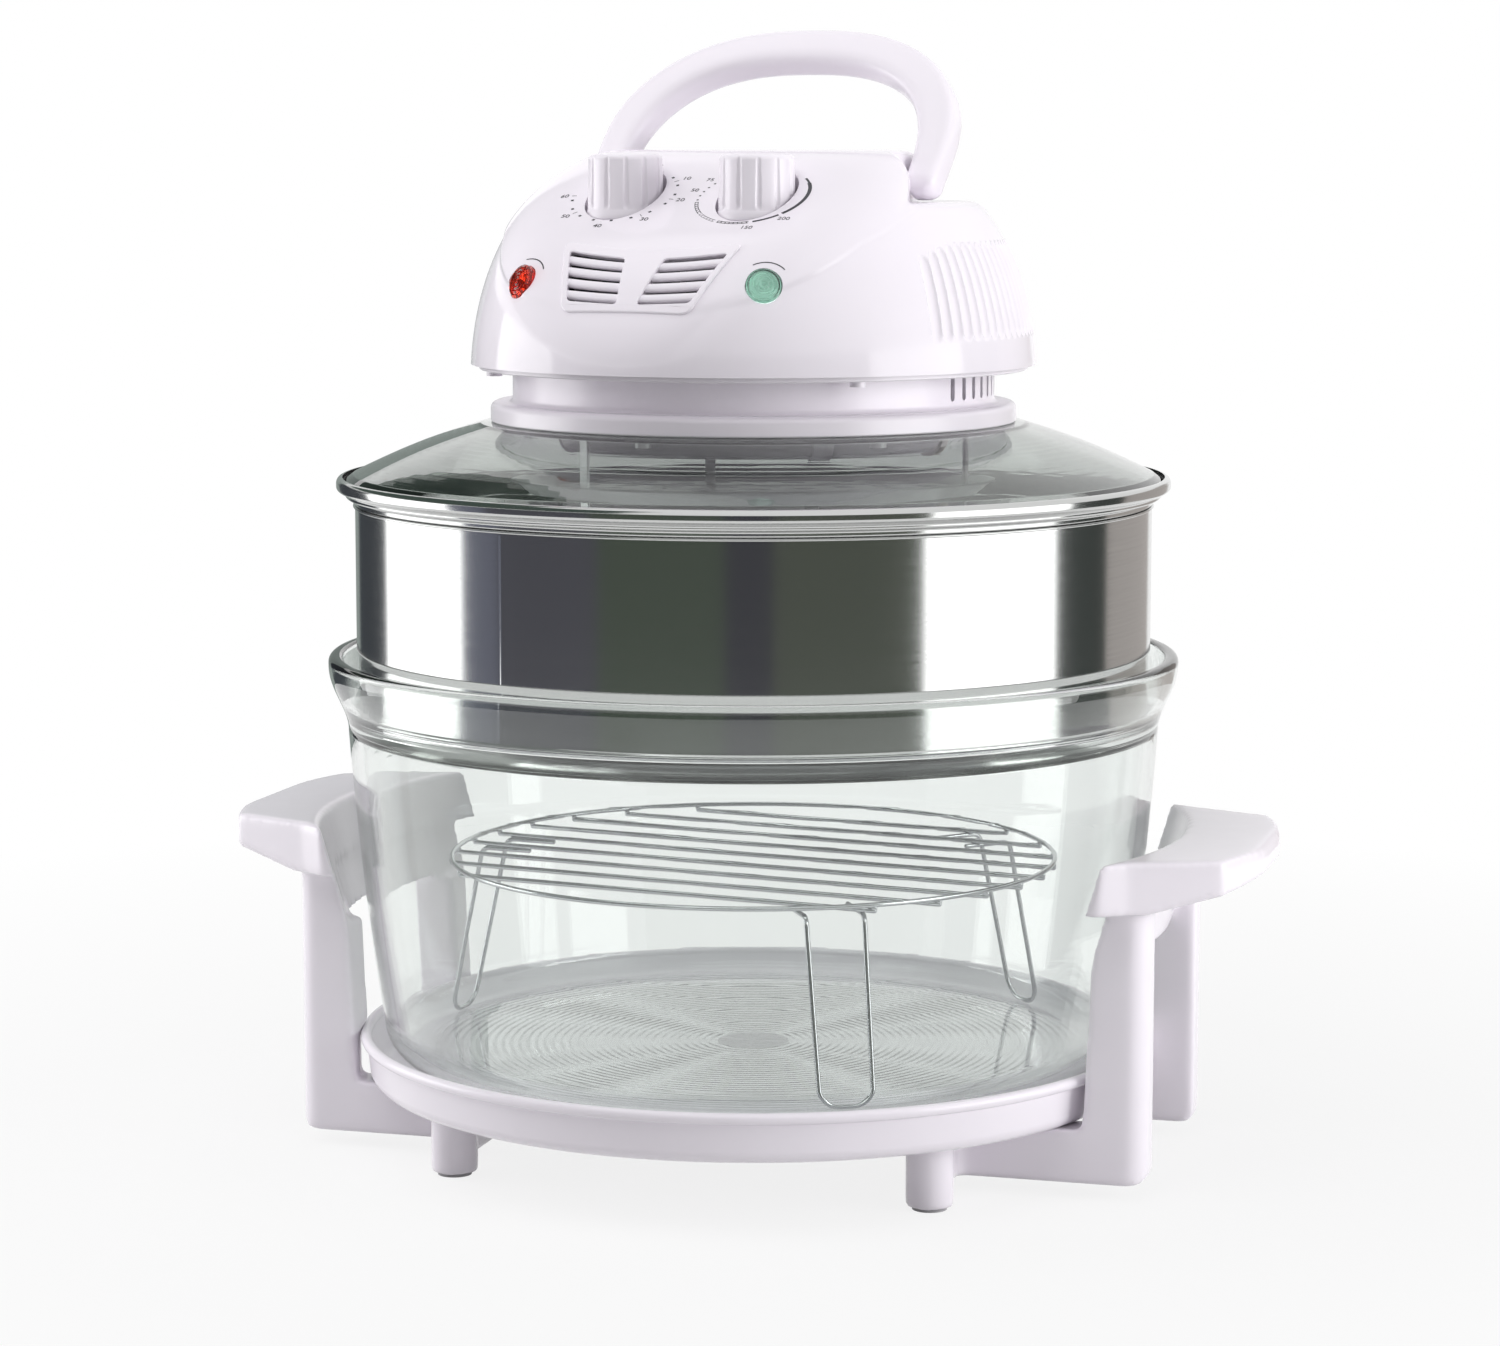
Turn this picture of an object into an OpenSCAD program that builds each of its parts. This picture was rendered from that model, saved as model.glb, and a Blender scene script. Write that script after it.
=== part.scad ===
// Countertop halogen oven: glass bowl in a stand with two side handles, steel
// extender ring, wire rack, and a lift-off glass lid that carries the heater head.
// Millimetres, +Z up. The origin is on the table under the bowl's centre, and the
// stand's side handles lie along X. The head's front faces -Y, turned by head_turn.

/* [Stand] */
// Height of the tray's floor above the table
foot_h = 26; // [20:1:40]
// Distance from the foot of the bowl's wall out to the edge of the tray's rolled rim
tray_gap = 9.4; // [7:0.2:12]
// Height of the tray, from its underside to the top of its rim
tray_h = 19.9; // [16:0.1:26]
// Thickness of the tray
tray_wall = 3; // [2:0.25:4]
// Distance from the edge of the bowl's flat underside in to the edge of the raised seat
seat_inset = 17; // [13:1:39]
// Height of the seat above the tray's underside
seat_h = 9; // [6:0.5:11]
// Radius of a foot column
foot_r = 9; // [8:0.5:11]
// Distance from the tray's rim in to the foot columns, along X
foot_inset_x = 61.4; // [58.4:0.2:68.4]
// Distance from the tray's rim in to the foot columns, along Y
foot_inset_y = 65.4; // [62.4:0.2:72.4]
// Height of the rubber under a foot column
pad_proud = 0.8; // [0.5:0.1:2]
// Radius of a stand screw
stand_screw_r = 1.75; // [1.5:0.25:2.25]

/* [Side handles] */
// Height of the grip's top above the table
grip_top = 129; // [115:1:135]
// Distance from the bowl's rim out to the grip's outer edge
grip_out = 40.5; // [30:0.5:50]
// Half the width of the grip at its outer corners
grip_half = 54; // [48:1:60]
// Thickness of the grip at its outer edge
grip_edge = 11; // [9:0.5:14]
// Thickness of the grip where it meets the posts
grip_root = 20; // [16:0.5:26]
// Distance from the bowl's rim out to a post's outer face
post_proud = 3; // [-1:1:7]
// Size of a post along X at its foot
post_depth = 24; // [18:1:26]
// Size of a post and of a bar along Y
post_w = 18; // [14:1:20]
// Distance from the centre plane to a post's outer side
post_y = 61.5; // [56:0.5:66]
// Height of the gap under the bars
bar_gap = 5.5; // [3:0.5:8]
// Height of the skirt's lower edge above the table
skirt_bottom = 89; // [75:1:98]

/* [Bowl] */
// Outer radius of the bowl's rim
bowl_rim_r = 165; // [162:0.5:170]
// Narrowing of the bowl from its rim to the foot of its wall, in radius
bowl_taper = 20; // [18:0.5:27]
// Height of the bowl
bowl_h = 159; // [140:1:180]
// Thickness of the bowl's glass
bowl_wall = 5; // [4:0.25:6]
// Radius of the bend between the bowl's floor and wall
bowl_bend = 16; // [10:1:22]
// Number of moulded rings under the bowl's floor
bowl_rings = 12; // [0:1:16]
// Depth of a moulded ring
bowl_ring_depth = 0.7; // [0.3:0.1:1.2]

/* [Steel ring] */
// Distance from the bowl's rim in to the extender ring's wall
ring_inset = 11; // [10:0.25:13]
// Height of the extender ring
ring_h = 77.8; // [60:0.1:100]
// Thickness of the ring's sheet steel
ring_wall = 0.8; // [0.6:0.1:1.2]

/* [Wire rack] */
// Distance from the foot of the bowl's wall in to the rack's outer wire circle
rack_inset = 27; // [21:1:45]
// Height of the rack's top above the bowl's floor
rack_h = 75; // [50:1:100]
// Radius of the rack's wires
rack_wire_r = 1.1; // [0.9:0.1:1.6]
// Distance between the rack's straight wires
rack_pitch = 22; // [16:1:30]
// Distance between the two sides of a leg
leg_w = 22; // [18:1:26]
// Distance from the foot of the bowl's wall in to the rack's feet
leg_inset = 15; // [13:1:27]

/* [Lid] */
// How far the lid's glass reaches out past the extender ring's wall
lid_rest = 4; // [2:0.5:4]
// Thickness of the lid's glass
lid_glass_t = 4; // [3:0.25:5]
// Fall of the lid's glass from its collar to its edge
lid_fall = 21.6; // [16:0.2:26]
// Distance from the collar's face in to the edge of the opening in the lid's glass
hole_inset = 3; // [2:0.5:4]
// Height of the steel band round the lid's glass
band_h = 10.4; // [9:0.1:12]
// Distance from the extender ring's wall out to the bulge of the steel band
band_out = 7.2; // [6.5:0.1:9]

/* [Head] */
// Turn of the head from the stand's front, clockwise seen from above
head_turn = 12; // [0:1:45]
// Distance from the collar's face out to the edge of the flange ring on the glass
flange_out = 8.5; // [6:0.5:11]
// Height of the flange ring
flange_h = 7.5; // [6:0.5:9]
// Outer radius of the collar
collar_r = 93; // [90:0.25:96]
// Height of the collar above the flange ring
collar_h = 14.5; // [12:0.5:18]
// Number of air slots in each side group of the collar
slot_count = 12; // [4:1:16]
// Distance from the collar's face out to the housing's lower edge
dome_out = 16; // [15:0.5:19]
// Height of the housing
dome_h = 81.5; // [76:0.5:90]
// Wall of the housing
dome_wall = 2.5; // [2:0.25:3]
// Depth of the ledge that the folded handle lies over, below the housing's top
ledge_drop = 19.5; // [17:0.5:22]
// Distance from the housing's lower edge in to the side of its raised block
pod_inset = 47.5; // [47:0.5:53]
// Distance from the centre to the back of the raised block
pod_back = 32; // [24:1:40]
// Slope of the control panel in degrees
panel_slope = 31.4; // [28:0.2:34]
// Distance from the centre to the control panel's upper edge
panel_start = 23; // [18:1:26]

/* [Carry handle] */
// Distance from the raised block's side out to the handle's outer side
handle_out = 17.5; // [14.5:0.5:18.5]
// Distance from the pivot to the top of the arch
handle_reach = 72; // [64:0.5:76]
// Size of the handle's bar in the plane of the arch
handle_bar_w = 16.4; // [14:0.2:16.8]
// Size of the handle's bar across that plane
handle_bar_t = 13; // [11:0.5:14]
// Lean of the raised handle from upright, in degrees
handle_lean = 38; // [30:1:45]
// Radius of a pivot pin
pin_r = 3; // [2.5:0.25:4]

/* [Knobs and lamps] */
// Radius of a knob
knob_r = 14.7; // [12:0.1:15.5]
// Distance from the centre plane to each knob's axis
knob_x = 28; // [26:0.5:32]
// Distance from the housing's lower edge in to the knobs' axes, at the front
knob_inset = 59; // [55:0.5:61]
// Height of a knob
knob_h = 24.5; // [20:0.5:26]
// Number of flutes round a knob
knob_flutes = 12; // [8:1:20]
// Radius of the clear face of a lamp
lens_r = 6.6; // [5:0.1:8]
// Turn of each lamp from the head's front, in degrees
lens_turn = 30; // [27:1:36]

/* [Heater and fans] */
// Distance from the flange's bore in to the circle that the quartz tube is bent to
tube_inset = 12; // [10:1:20]
// Outer radius of the quartz tube
tube_r = 5; // [4:0.25:6]
// Part of the circle left open between the tube's ends, in degrees
tube_gap = 24; // [20:1:40]
// Distance from the flange's bore out to the guard dish's rim
guard_out = 10; // [6:0.5:14]
// Depth of the guard dish
guard_h = 6; // [4:0.5:8]
// Distance from the quartz tube's circle in to the edge of the hot air fan
hot_fan_gap = 12; // [8:1:30]
// Radius of the cooling fan
cool_fan_r = 32; // [24:1:34]
// Radius of the motor's shaft
shaft_r = 2.5; // [2:0.25:3]
// Radius of the motor
motor_r = 26; // [20:1:28]

/* [Fits] */
// Clearance between pieces that are screwed or dropped together
seat_gap = 0.2; // [0.1:0.05:0.4]
// Radial clearance of a shaft or pin that turns in its bore
run_gap = 0.05; // [0.02:0.01:0.09]

/* [Hidden] */
$fn = 96;

// Radii that several pieces share
bowl_foot_r = bowl_rim_r - bowl_taper;
tray_rim_r = bowl_foot_r + tray_gap;
seat_r = bowl_foot_r - bowl_bend - seat_inset;
foot_x = tray_rim_r - foot_inset_x;
foot_y = tray_rim_r - foot_inset_y;
grip_reach = bowl_rim_r + grip_out;
post_out = bowl_rim_r + post_proud;
ring_r = bowl_rim_r - ring_inset;
rack_r = bowl_foot_r - rack_inset;
leg_foot_r = bowl_foot_r - leg_inset;
lid_glass_r = ring_r + lid_rest;
band_r = ring_r + band_out;
lid_hole_r = collar_r - hole_inset;
flange_r = collar_r + flange_out;
dome_r = collar_r + dome_out;
knob_y = dome_r - knob_inset;
pod_half = dome_r - pod_inset;
handle_half = pod_half + handle_out;
duct_r = lid_hole_r - 8;
guard_r = duct_r + guard_out;
tube_ring_r = duct_r - tube_inset;
hot_fan_r = tube_ring_r - hot_fan_gap;

// Points of an arc, from angle a0 to a1 in n steps
function arc(cx, cy, r, a0, a1, n = 8) =
    [for (i = [0:n]) let (a = a0 + (a1 - a0) * i / n) [cx + r * cos(a), cy + r * sin(a)]];

function unit(v) = v / norm(v);

// Points of a path with its inner corners rounded to the given radii
function rounded_path(p, radii, n = 5) = concat([p[0]],
    [for (i = [1:len(p) - 2])
        let (u = unit(p[i - 1] - p[i]), v = unit(p[i + 1] - p[i]), half = acos(u * v) / 2, r = radii[i - 1],
            middle = p[i] + unit(u + v) * r / sin(half), a = p[i] + u * r / tan(half) - middle,
            b = p[i] + v * r / tan(half) - middle, turn = acos(a * b / (r * r)))
        for (k = [0:n]) middle + (a * sin(turn * (1 - k / n)) + b * sin(turn * k / n)) / sin(turn)],
    [p[len(p) - 1]]);

// Directions along a path, and side directions carried along it without twist
function along(p) = [for (i = [0:len(p) - 1]) unit(p[min(i + 1, len(p) - 1)] - p[max(i - 1, 0)])];
function carried(t, side, i = 0, out = []) = i == len(t) ? out :
    let (n = unit(side - (side * t[i]) * t[i])) carried(t, n, i + 1, concat(out, [n]));

// A solid bar that follows a path with one cross section
module swept(path, section, side) {
    t = along(path);
    n = carried(t, side);
    k = len(section);
    last = len(path) - 1;
    points = [for (i = [0:last]) let (b = cross(t[i], n[i]))
        for (q = section) path[i] + q[0] * n[i] + q[1] * b];
    strips = [for (i = [0:last - 1], j = [0:k - 1]) [i * k + j, i * k + (j + 1) % k]];
    faces = concat([[for (j = [0:k - 1]) j]],
        [for (s = strips) [s[0], s[1] + k, s[1]]],
        [for (s = strips) [s[0], s[0] + k, s[1] + k]],
        [[for (j = [k - 1:-1:0]) last * k + j]]);
    polyhedron(points, faces, convexity = 6);
}

// A round wire along a path
module wire(path, r, side, sides = 8) {
    swept(path, [for (i = [0:sides - 1]) r * [cos(360 * i / sides), sin(360 * i / sides)]], side);
}

// A body of revolution with the given half section
module turned(points) {
    rotate_extrude() polygon(points);
}

// A plain ring between two radii
module ring(r_in, r_out, z, h) {
    translate([0, 0, z]) difference() {
        cylinder(r = r_out, h = h);
        translate([0, 0, -1]) cylinder(r = r_in, h = h + 2);
    }
}

// Children, and their mirror image across the plane with normal v
module both(v) {
    children();
    mirror(v) children();
}

// Children in the head's own directions
module on_head() {
    rotate([0, 0, -head_turn]) children();
}

// Shape of the bowl's wall: a slight belly, then a flare that ends upright at the rim
flare_h = 29;
flare_w = 7.5;
flare_end = 4;
belly = 5.2;

// Outer radius of the bowl's wall at height h above its underside
function bowl_wall_r(h) =
    let (t = (h - bowl_bend) / (bowl_h - flare_h - bowl_bend))
    bowl_foot_r + (bowl_rim_r - flare_w - bowl_foot_r) * t + belly * t * (1 - t);
function bowl_flare_r(h) =
    let (t = min(1, (h - bowl_h + flare_h) / (flare_h - flare_end)))
    bowl_rim_r - flare_w * (1 + cos(180 * t)) / 2;

// Stand
tray_z = foot_h;
seat_z = tray_z + seat_h;
rim_roll = 2.2;
tray_top = tray_z + tray_h;
peg_r = 4;
peg_h = 12;
screw_head_r = 3.5;
screw_head_h = 2.5;
pad_r = 6.5;
pad_recess = 1.5;
screw_z = tray_z - peg_h - 5.5;

module at_feet() {
    for (sx = [-1, 1], sy = [-1, 1]) translate([sx * foot_x, sy * foot_y, 0]) children();
}

module tray() {
    roll_out = 2.4;
    bend = 4;
    side_r = tray_rim_r - roll_out;
    inner_r = side_r - tray_wall;
    roll_z = tray_top - rim_roll;
    color("white") difference() {
        union() {
            turned(concat(
                [[0, seat_z - tray_wall], [seat_r - tray_wall, seat_z - tray_wall], [seat_r, tray_z]],
                arc(side_r - bend - 1, tray_z + bend, bend, -90, -10),
                [[side_r, roll_z], [inner_r + 0.6, roll_z]],
                [[inner_r - 1, tray_z + tray_wall + 2], [inner_r - 3, tray_z + tray_wall]],
                [[seat_r + tray_wall, tray_z + tray_wall], [seat_r, seat_z], [0, seat_z]]));
            rotate_extrude() translate([tray_rim_r - rim_roll, roll_z]) circle(r = rim_roll, $fn = 32);
            at_feet() translate([0, 0, tray_z - peg_h]) cylinder(r = peg_r, h = peg_h + 1);
        }
        at_feet() translate([0, 0, tray_z - peg_h - 1]) cylinder(r = stand_screw_r + run_gap, h = peg_h);
    }
}

// Bores of a foot column, for the tray's peg, the screw and the rubber pad
module foot_bores() {
    translate([0, 0, tray_z - peg_h - seat_gap]) cylinder(r = peg_r + seat_gap, h = peg_h + 2);
    translate([0, 0, -1]) cylinder(r = stand_screw_r + seat_gap, h = tray_z);
    translate([0, 0, -1]) cylinder(r = screw_head_r + seat_gap, h = screw_z + screw_head_h + 1);
    translate([0, 0, -1]) cylinder(r = pad_r + seat_gap, h = pad_proud + pad_recess + 1);
}

// Side handle, drawn for the +X side
rim_gap = 5;
skirt_gap = 8.7;
grip_inner_r = bowl_rim_r + rim_gap;
skirt_foot_r = bowl_wall_r(skirt_bottom - seat_z) + skirt_gap;
skirt_wall = 3.5;
grip_soft = 5;
grip_bow = 10.5;
// the grip reaches past the posts in two wings, which narrow towards its outer edge
wing_reach = 13.5;
wing_slope = 7;
wing_start = 18;
wing_bend = 8;
grip_bow_r = (grip_half * grip_half + grip_bow * grip_bow) / (2 * grip_bow);
bar_h = tray_z - bar_gap;
post_corner = 8;

module grip_plan() {
    wing_y = post_y + wing_reach;
    difference() {
        intersection() {
            translate([grip_reach - grip_bow_r, 0]) circle(r = grip_bow_r, $fn = 180);
            both([0, 1]) polygon([[0, -wing_y], [grip_inner_r - wing_start, -wing_y],
                [grip_inner_r - wing_bend, wing_slope - wing_y], [grip_reach - grip_bow + 1, -grip_half],
                [grip_reach + 5, -grip_half], [grip_reach + 5, 1], [0, 1]]);
        }
        circle(r = skirt_foot_r - 12, $fn = 180);
    }
}

module grip_section() {
    polygon(concat(
        [[skirt_foot_r - 14, grip_top], [grip_reach - grip_soft - 4, grip_top]],
        arc(grip_reach - grip_soft - 0.5, grip_top - grip_soft, grip_soft, 75, -10, 6),
        [[grip_reach - 1.5, grip_top - grip_edge], [post_out, grip_top - grip_root]],
        [[skirt_foot_r - 14, grip_top - grip_root]]));
}

module side_handle() {
    skirt_span = 2 * asin((post_y - 4) / skirt_foot_r);
    skirt_top = grip_top - 6;
    color("white") difference() {
        union() {
            intersection() {
                linear_extrude(grip_top + 5) grip_plan();
                rotate([90, 0, 0]) translate([0, 0, -100]) linear_extrude(200) grip_section();
            }
            rotate([0, 0, -skirt_span / 2]) rotate_extrude(angle = skirt_span)
                polygon([[skirt_foot_r, skirt_bottom], [skirt_foot_r + skirt_wall, skirt_bottom],
                    [grip_inner_r + skirt_wall, skirt_top], [grip_inner_r, skirt_top]]);
            both([0, 1, 0]) {
                post_and_bar();
                translate([foot_x, foot_y, pad_proud]) cylinder(r = foot_r, h = tray_z - pad_proud);
            }
        }
        both([0, 1, 0]) translate([foot_x, foot_y, 0]) foot_bores();
        // the inner face follows the bowl's flare
        translate([0, 0, skirt_bottom]) difference() {
            cylinder(r1 = skirt_foot_r - 0.5, r2 = grip_inner_r - 0.2, h = grip_top - skirt_bottom + 1);
            translate([0, 0, -1]) cylinder(r = skirt_foot_r - 39, h = grip_top);
        }
        // the posts keep clear of the tray's rim
        translate([0, 0, tray_z]) cylinder(r = tray_rim_r + seat_gap, h = tray_h + seat_gap);
    }
}

// One post with the bar that runs from its foot in to a foot column
module post_and_bar() {
    top = grip_top - grip_root + 2;
    bar_start = foot_x - 13;
    bar_end = foot_x - 5;
    post_in = post_out - post_depth;
    heel_r = 5;
    lean = 4;
    intersection() {
        translate([0, post_y - post_w, bar_gap]) linear_extrude(top - bar_gap) union() {
            translate([bar_start, 0]) square([post_out - post_corner - bar_start, post_w]);
            translate([bar_start, 0]) square([post_out - bar_start, post_w - post_corner]);
            translate([post_out - post_corner, post_w - post_corner]) circle(r = post_corner, $fn = 48);
        }
        rotate([90, 0, 0]) translate([0, 0, -100]) linear_extrude(200) polygon(concat(
            [[bar_end, bar_gap], [bar_end, tray_z], [post_in, tray_z], [post_in + lean, top]],
            [[post_out, top]], arc(post_out - heel_r, bar_gap + heel_r, heel_r, 0, -90, 5)));
    }
    // web between the bar and the foot column
    difference() {
        translate([bar_end, post_y - post_w, bar_gap])
            cube([2 * (foot_x - bar_end), foot_y - post_y + post_w, bar_h]);
        translate([foot_x, foot_y, -1]) cylinder(r = foot_r - 1, h = tray_z + 2);
    }
}

module side_handle_right() { side_handle(); }

module side_handle_left() { rotate([0, 0, 180]) side_handle(); }

module foot_pads() {
    color("gainsboro") at_feet() cylinder(r = pad_r, h = pad_proud + pad_recess - 0.1);
}

module stand_screws() {
    color("silver") at_feet() translate([0, 0, screw_z]) {
        cylinder(r = screw_head_r, h = screw_head_h);
        cylinder(r = stand_screw_r, h = tray_z - 4 - screw_z);
    }
}

// Bowl
floor_z = seat_z + bowl_wall;
bowl_top = seat_z + bowl_h;
rim_soft = 2.5;
ledge_depth = 19.6;
ring_z = bowl_top - ledge_depth;

module glass_bowl() {
    flat_r = bowl_foot_r - bowl_bend;
    groove_pitch = (flat_r - 20) / max(1, bowl_rings);
    grooves = [for (i = [1:1:bowl_rings], p = [[-0.5, 0], [0, 1], [0.5, 0]])
        [flat_r - (bowl_rings - i + 0.8 - p[0] * 0.8) * groove_pitch, p[1] * bowl_ring_depth]];
    wall_steps = [for (i = [1:6]) bowl_bend + (bowl_h - flare_h - bowl_bend) * i / 6];
    flare_steps = [for (i = [1:8]) bowl_h - flare_h + (flare_h - flare_end) * i / 8];
    ledge_h = bowl_h - ledge_depth;
    inner_flare = [for (h = flare_steps) if (h > ledge_h + 1) [bowl_flare_r(h) - bowl_wall - 0.4, h]];
    color("lightcyan") translate([0, 0, seat_z]) turned(concat(
        [[0, 0]], grooves, arc(flat_r, bowl_bend, bowl_bend, -90, 0),
        [for (h = wall_steps) [bowl_wall_r(h), h]],
        [for (h = flare_steps) [bowl_flare_r(h), h]],
        arc(bowl_rim_r - rim_soft, bowl_h - rim_soft, rim_soft, 0, 90, 5),
        arc(bowl_rim_r - bowl_wall + 1.1, bowl_h - 1.5, 1.5, 90, 180, 4),
        [for (i = [len(inner_flare) - 1:-1:0]) inner_flare[i]],
        [[bowl_flare_r(ledge_h) - bowl_wall, ledge_h], [ring_r - ring_wall - 0.8, ledge_h]],
        [for (i = [5:-1:0]) if (wall_steps[i] < ledge_h - 2)
            [bowl_wall_r(wall_steps[i]) - bowl_wall, wall_steps[i]]],
        arc(flat_r, bowl_bend, bowl_bend - bowl_wall, 0, -90),
        [[0, bowl_wall]]));
}

// Extender ring
ring_top = ring_z + ring_h;
ring_edge_r = 1.2;
ring_lip_r = 1.6;

module steel_ring() {
    step_h = 20.5;
    step_w = 0.8;
    step_z = ring_z + step_h;
    skirt_r = ring_r - step_w;
    color("silver") union() {
        turned([[skirt_r - ring_wall, ring_z + ring_edge_r], [skirt_r, ring_z + ring_edge_r],
            [skirt_r, step_z], [ring_r, step_z + 0.8], [ring_r, ring_top - ring_lip_r - 1.5],
            [ring_r + 1.5, ring_top - ring_lip_r], [ring_r + 1.5, ring_top - ring_wall],
            [ring_r - ring_wall + 0.4, ring_top - ring_wall], [ring_r - ring_wall, ring_top - 3],
            [ring_r - ring_wall, step_z + 1.2], [skirt_r - ring_wall, step_z + 0.4]]);
        rotate_extrude() translate([skirt_r - ring_wall / 2, ring_z + ring_edge_r])
            circle(r = ring_edge_r, $fn = 24);
        rotate_extrude() translate([ring_r + ring_lip_r, ring_top - ring_lip_r])
            circle(r = ring_lip_r, $fn = 24);
    }
}

// Rack
rack_turn = -9;
rack_shift = 7;
leg_turns = [-50, 55, 182];
weld = 0.15;
rack_ring_z = floor_z + rack_h - rack_wire_r;
rod_z = rack_ring_z - 2 * rack_wire_r + weld;
stub_z = rod_z - 2 * rack_wire_r + weld;
leg_top_r = rack_r - 4;
leg_bend_r = 4;
leg_tail = 21;

module at_rack() {
    rotate([0, 0, rack_turn]) children();
}

module rack_ring() {
    color("lightgray") rotate_extrude() translate([rack_r, rack_ring_z]) circle(r = rack_wire_r, $fn = 24);
}

module rack_wires() {
    reach = rack_r - 12;
    rows = floor(reach / rack_pitch);
    color("lightgray") at_rack() for (i = [-rows:rows]) {
        y = i * rack_pitch + rack_shift;
        half = sqrt(rack_r * rack_r - y * y) + 1.5;
        translate([-half, y, rod_z]) rotate([0, 90, 0]) cylinder(r = rack_wire_r, h = 2 * half, $fn = 24);
    }
}

module rack_legs() {
    half = leg_w / 2;
    foot_in = half - 1;
    foot_z = floor_z + rack_wire_r + 0.3;
    color("lightgray") at_rack() for (a = leg_turns) rotate([0, 0, a]) wire(rounded_path([
        [leg_top_r - leg_tail, half, stub_z], [leg_top_r, half, stub_z], [leg_foot_r, foot_in, foot_z],
        [leg_foot_r, -foot_in, foot_z], [leg_top_r, -half, stub_z], [leg_top_r - leg_tail, -half, stub_z]],
        [leg_bend_r, foot_in - 2, foot_in - 2, leg_bend_r]), rack_wire_r, [0, 1, 0]);
}

// Lid
lid_z = ring_top;
glass_edge_h = 10;
glass_bend_r = flange_r + 1.5;
lid_slope = lid_fall / (lid_glass_r - glass_bend_r);
glass_top = lid_z + glass_edge_h + lid_fall;
glass_under = glass_top - lid_glass_t;
band_wall = 0.8;
band_lip_r = ring_r - ring_wall - 2 * seat_gap;
band_lip_depth = 6;
seal_gap = 0.1;

// Outer side of the lid's band from its foot to its top: a bead, a groove and a bulge
function band_skin(inset) = let (h = band_h / 10.4)
    [for (p = [[-3.6, 0.2], [-2.4, 1.8], [-2.3, 2.7], [-1.6, 3.2], [-0.8, 4.6], [-1, 5.6], [-0.3, 6.8],
        [0, 8.6], [-0.8, 10.2], [-1.8, 10.6]]) [band_r + p[0] - inset, p[1] * h]];

module lid_glass() {
    edge_soft = 0.8;
    color("lightcyan") translate([0, 0, lid_z + glass_edge_h]) turned([
        [lid_hole_r, lid_fall - lid_glass_t], [glass_bend_r, lid_fall - lid_glass_t],
        [lid_glass_r, -lid_glass_t], [lid_glass_r, -edge_soft], [lid_glass_r - edge_soft, 0],
        [glass_bend_r, lid_fall], [lid_hole_r, lid_fall]]);
}

module lid_band() {
    outer = band_skin(0);
    inner = band_skin(band_wall);
    floor_h = seat_gap + band_wall;
    hem_h = glass_edge_h - lid_glass_t + 1.4;
    color("silver") translate([0, 0, lid_z]) turned(concat(
        [[band_lip_r - band_wall, -band_lip_depth], [band_lip_r, -band_lip_depth], [band_lip_r, seat_gap]],
        outer, [for (i = [len(inner) - 1:-1:1]) inner[i]],
        [[inner[1][0] - 0.8, floor_h], [band_lip_r, floor_h],
            [band_lip_r, hem_h], [band_lip_r - band_wall, hem_h]]));
}

module lid_seal() {
    skin = band_skin(band_wall + seal_gap);
    in_r = band_lip_r + seal_gap;
    edge_r = lid_glass_r + seal_gap;
    under = glass_edge_h - lid_glass_t - seal_gap;
    floor_h = seat_gap + band_wall + seal_gap;
    color("dimgray") translate([0, 0, lid_z]) turned(concat(
        [[in_r, floor_h], [skin[1][0] - 1, floor_h]], [for (i = [1:len(skin) - 2]) skin[i]],
        [[edge_r, skin[8][1]], [edge_r, under], [in_r, under + (edge_r - in_r) * lid_slope]]));
}

// Flange, clamp and collar
head_z = glass_top + flange_h;
dome_z = head_z + collar_h;
spigot_r = lid_hole_r - 0.4;
clamp_t = 1.5;
clamp_screw_r = 1.5;
cap_h = 2;
clamp_ring_r = lid_hole_r + 7;
boss_r = 4;
collar_wall = 2.5;
boss_ring_r = collar_r - collar_wall - boss_r - seat_gap;
collar_foot_z = head_z + 2;
plate_t = 2;
plate_r = dome_r - 3.2;
plate_hole_r = 40;
shield_t = 1;
shield_z = collar_foot_z + 4.5;

module at_clamp_screws() {
    on_head() for (i = [0:5]) rotate([0, 0, 60 * i + 30]) translate([boss_ring_r, 0, 0]) children();
}

module lid_flange() {
    color("white") difference() {
        union() {
            turned(concat([[duct_r, glass_under], [spigot_r, glass_under], [spigot_r, glass_top],
                [flange_r, glass_top]], arc(flange_r - 2.5, head_z - 2.5, 2.5, 0, 90, 5),
                [[collar_r + 2, head_z]], arc(collar_r + 2, collar_foot_z, 2, -90, -180, 4),
                [[duct_r, collar_foot_z]]));
            at_clamp_screws() translate([0, 0, collar_foot_z - 1])
                cylinder(r = boss_r, h = shield_z - collar_foot_z + 1);
        }
        at_clamp_screws() translate([0, 0, glass_under - 1])
            cylinder(r = clamp_screw_r + seat_gap, h = shield_z - glass_under + 2);
    }
}

module clamp_ring() {
    color("silver") difference() {
        ring(duct_r, clamp_ring_r, glass_under - clamp_t, clamp_t);
        at_clamp_screws() translate([0, 0, glass_under - clamp_t - 1])
            cylinder(r = clamp_screw_r + seat_gap, h = clamp_t + 2);
    }
}

module clamp_screws() {
    top = dome_z - plate_t - 1;
    under = glass_under - clamp_t;
    color("silver") at_clamp_screws() {
        translate([0, 0, under - cap_h]) cylinder(r = 2 * clamp_screw_r, h = cap_h);
        translate([0, 0, under - 0.5]) cylinder(r = clamp_screw_r, h = top - under + 0.5);
    }
}

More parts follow.
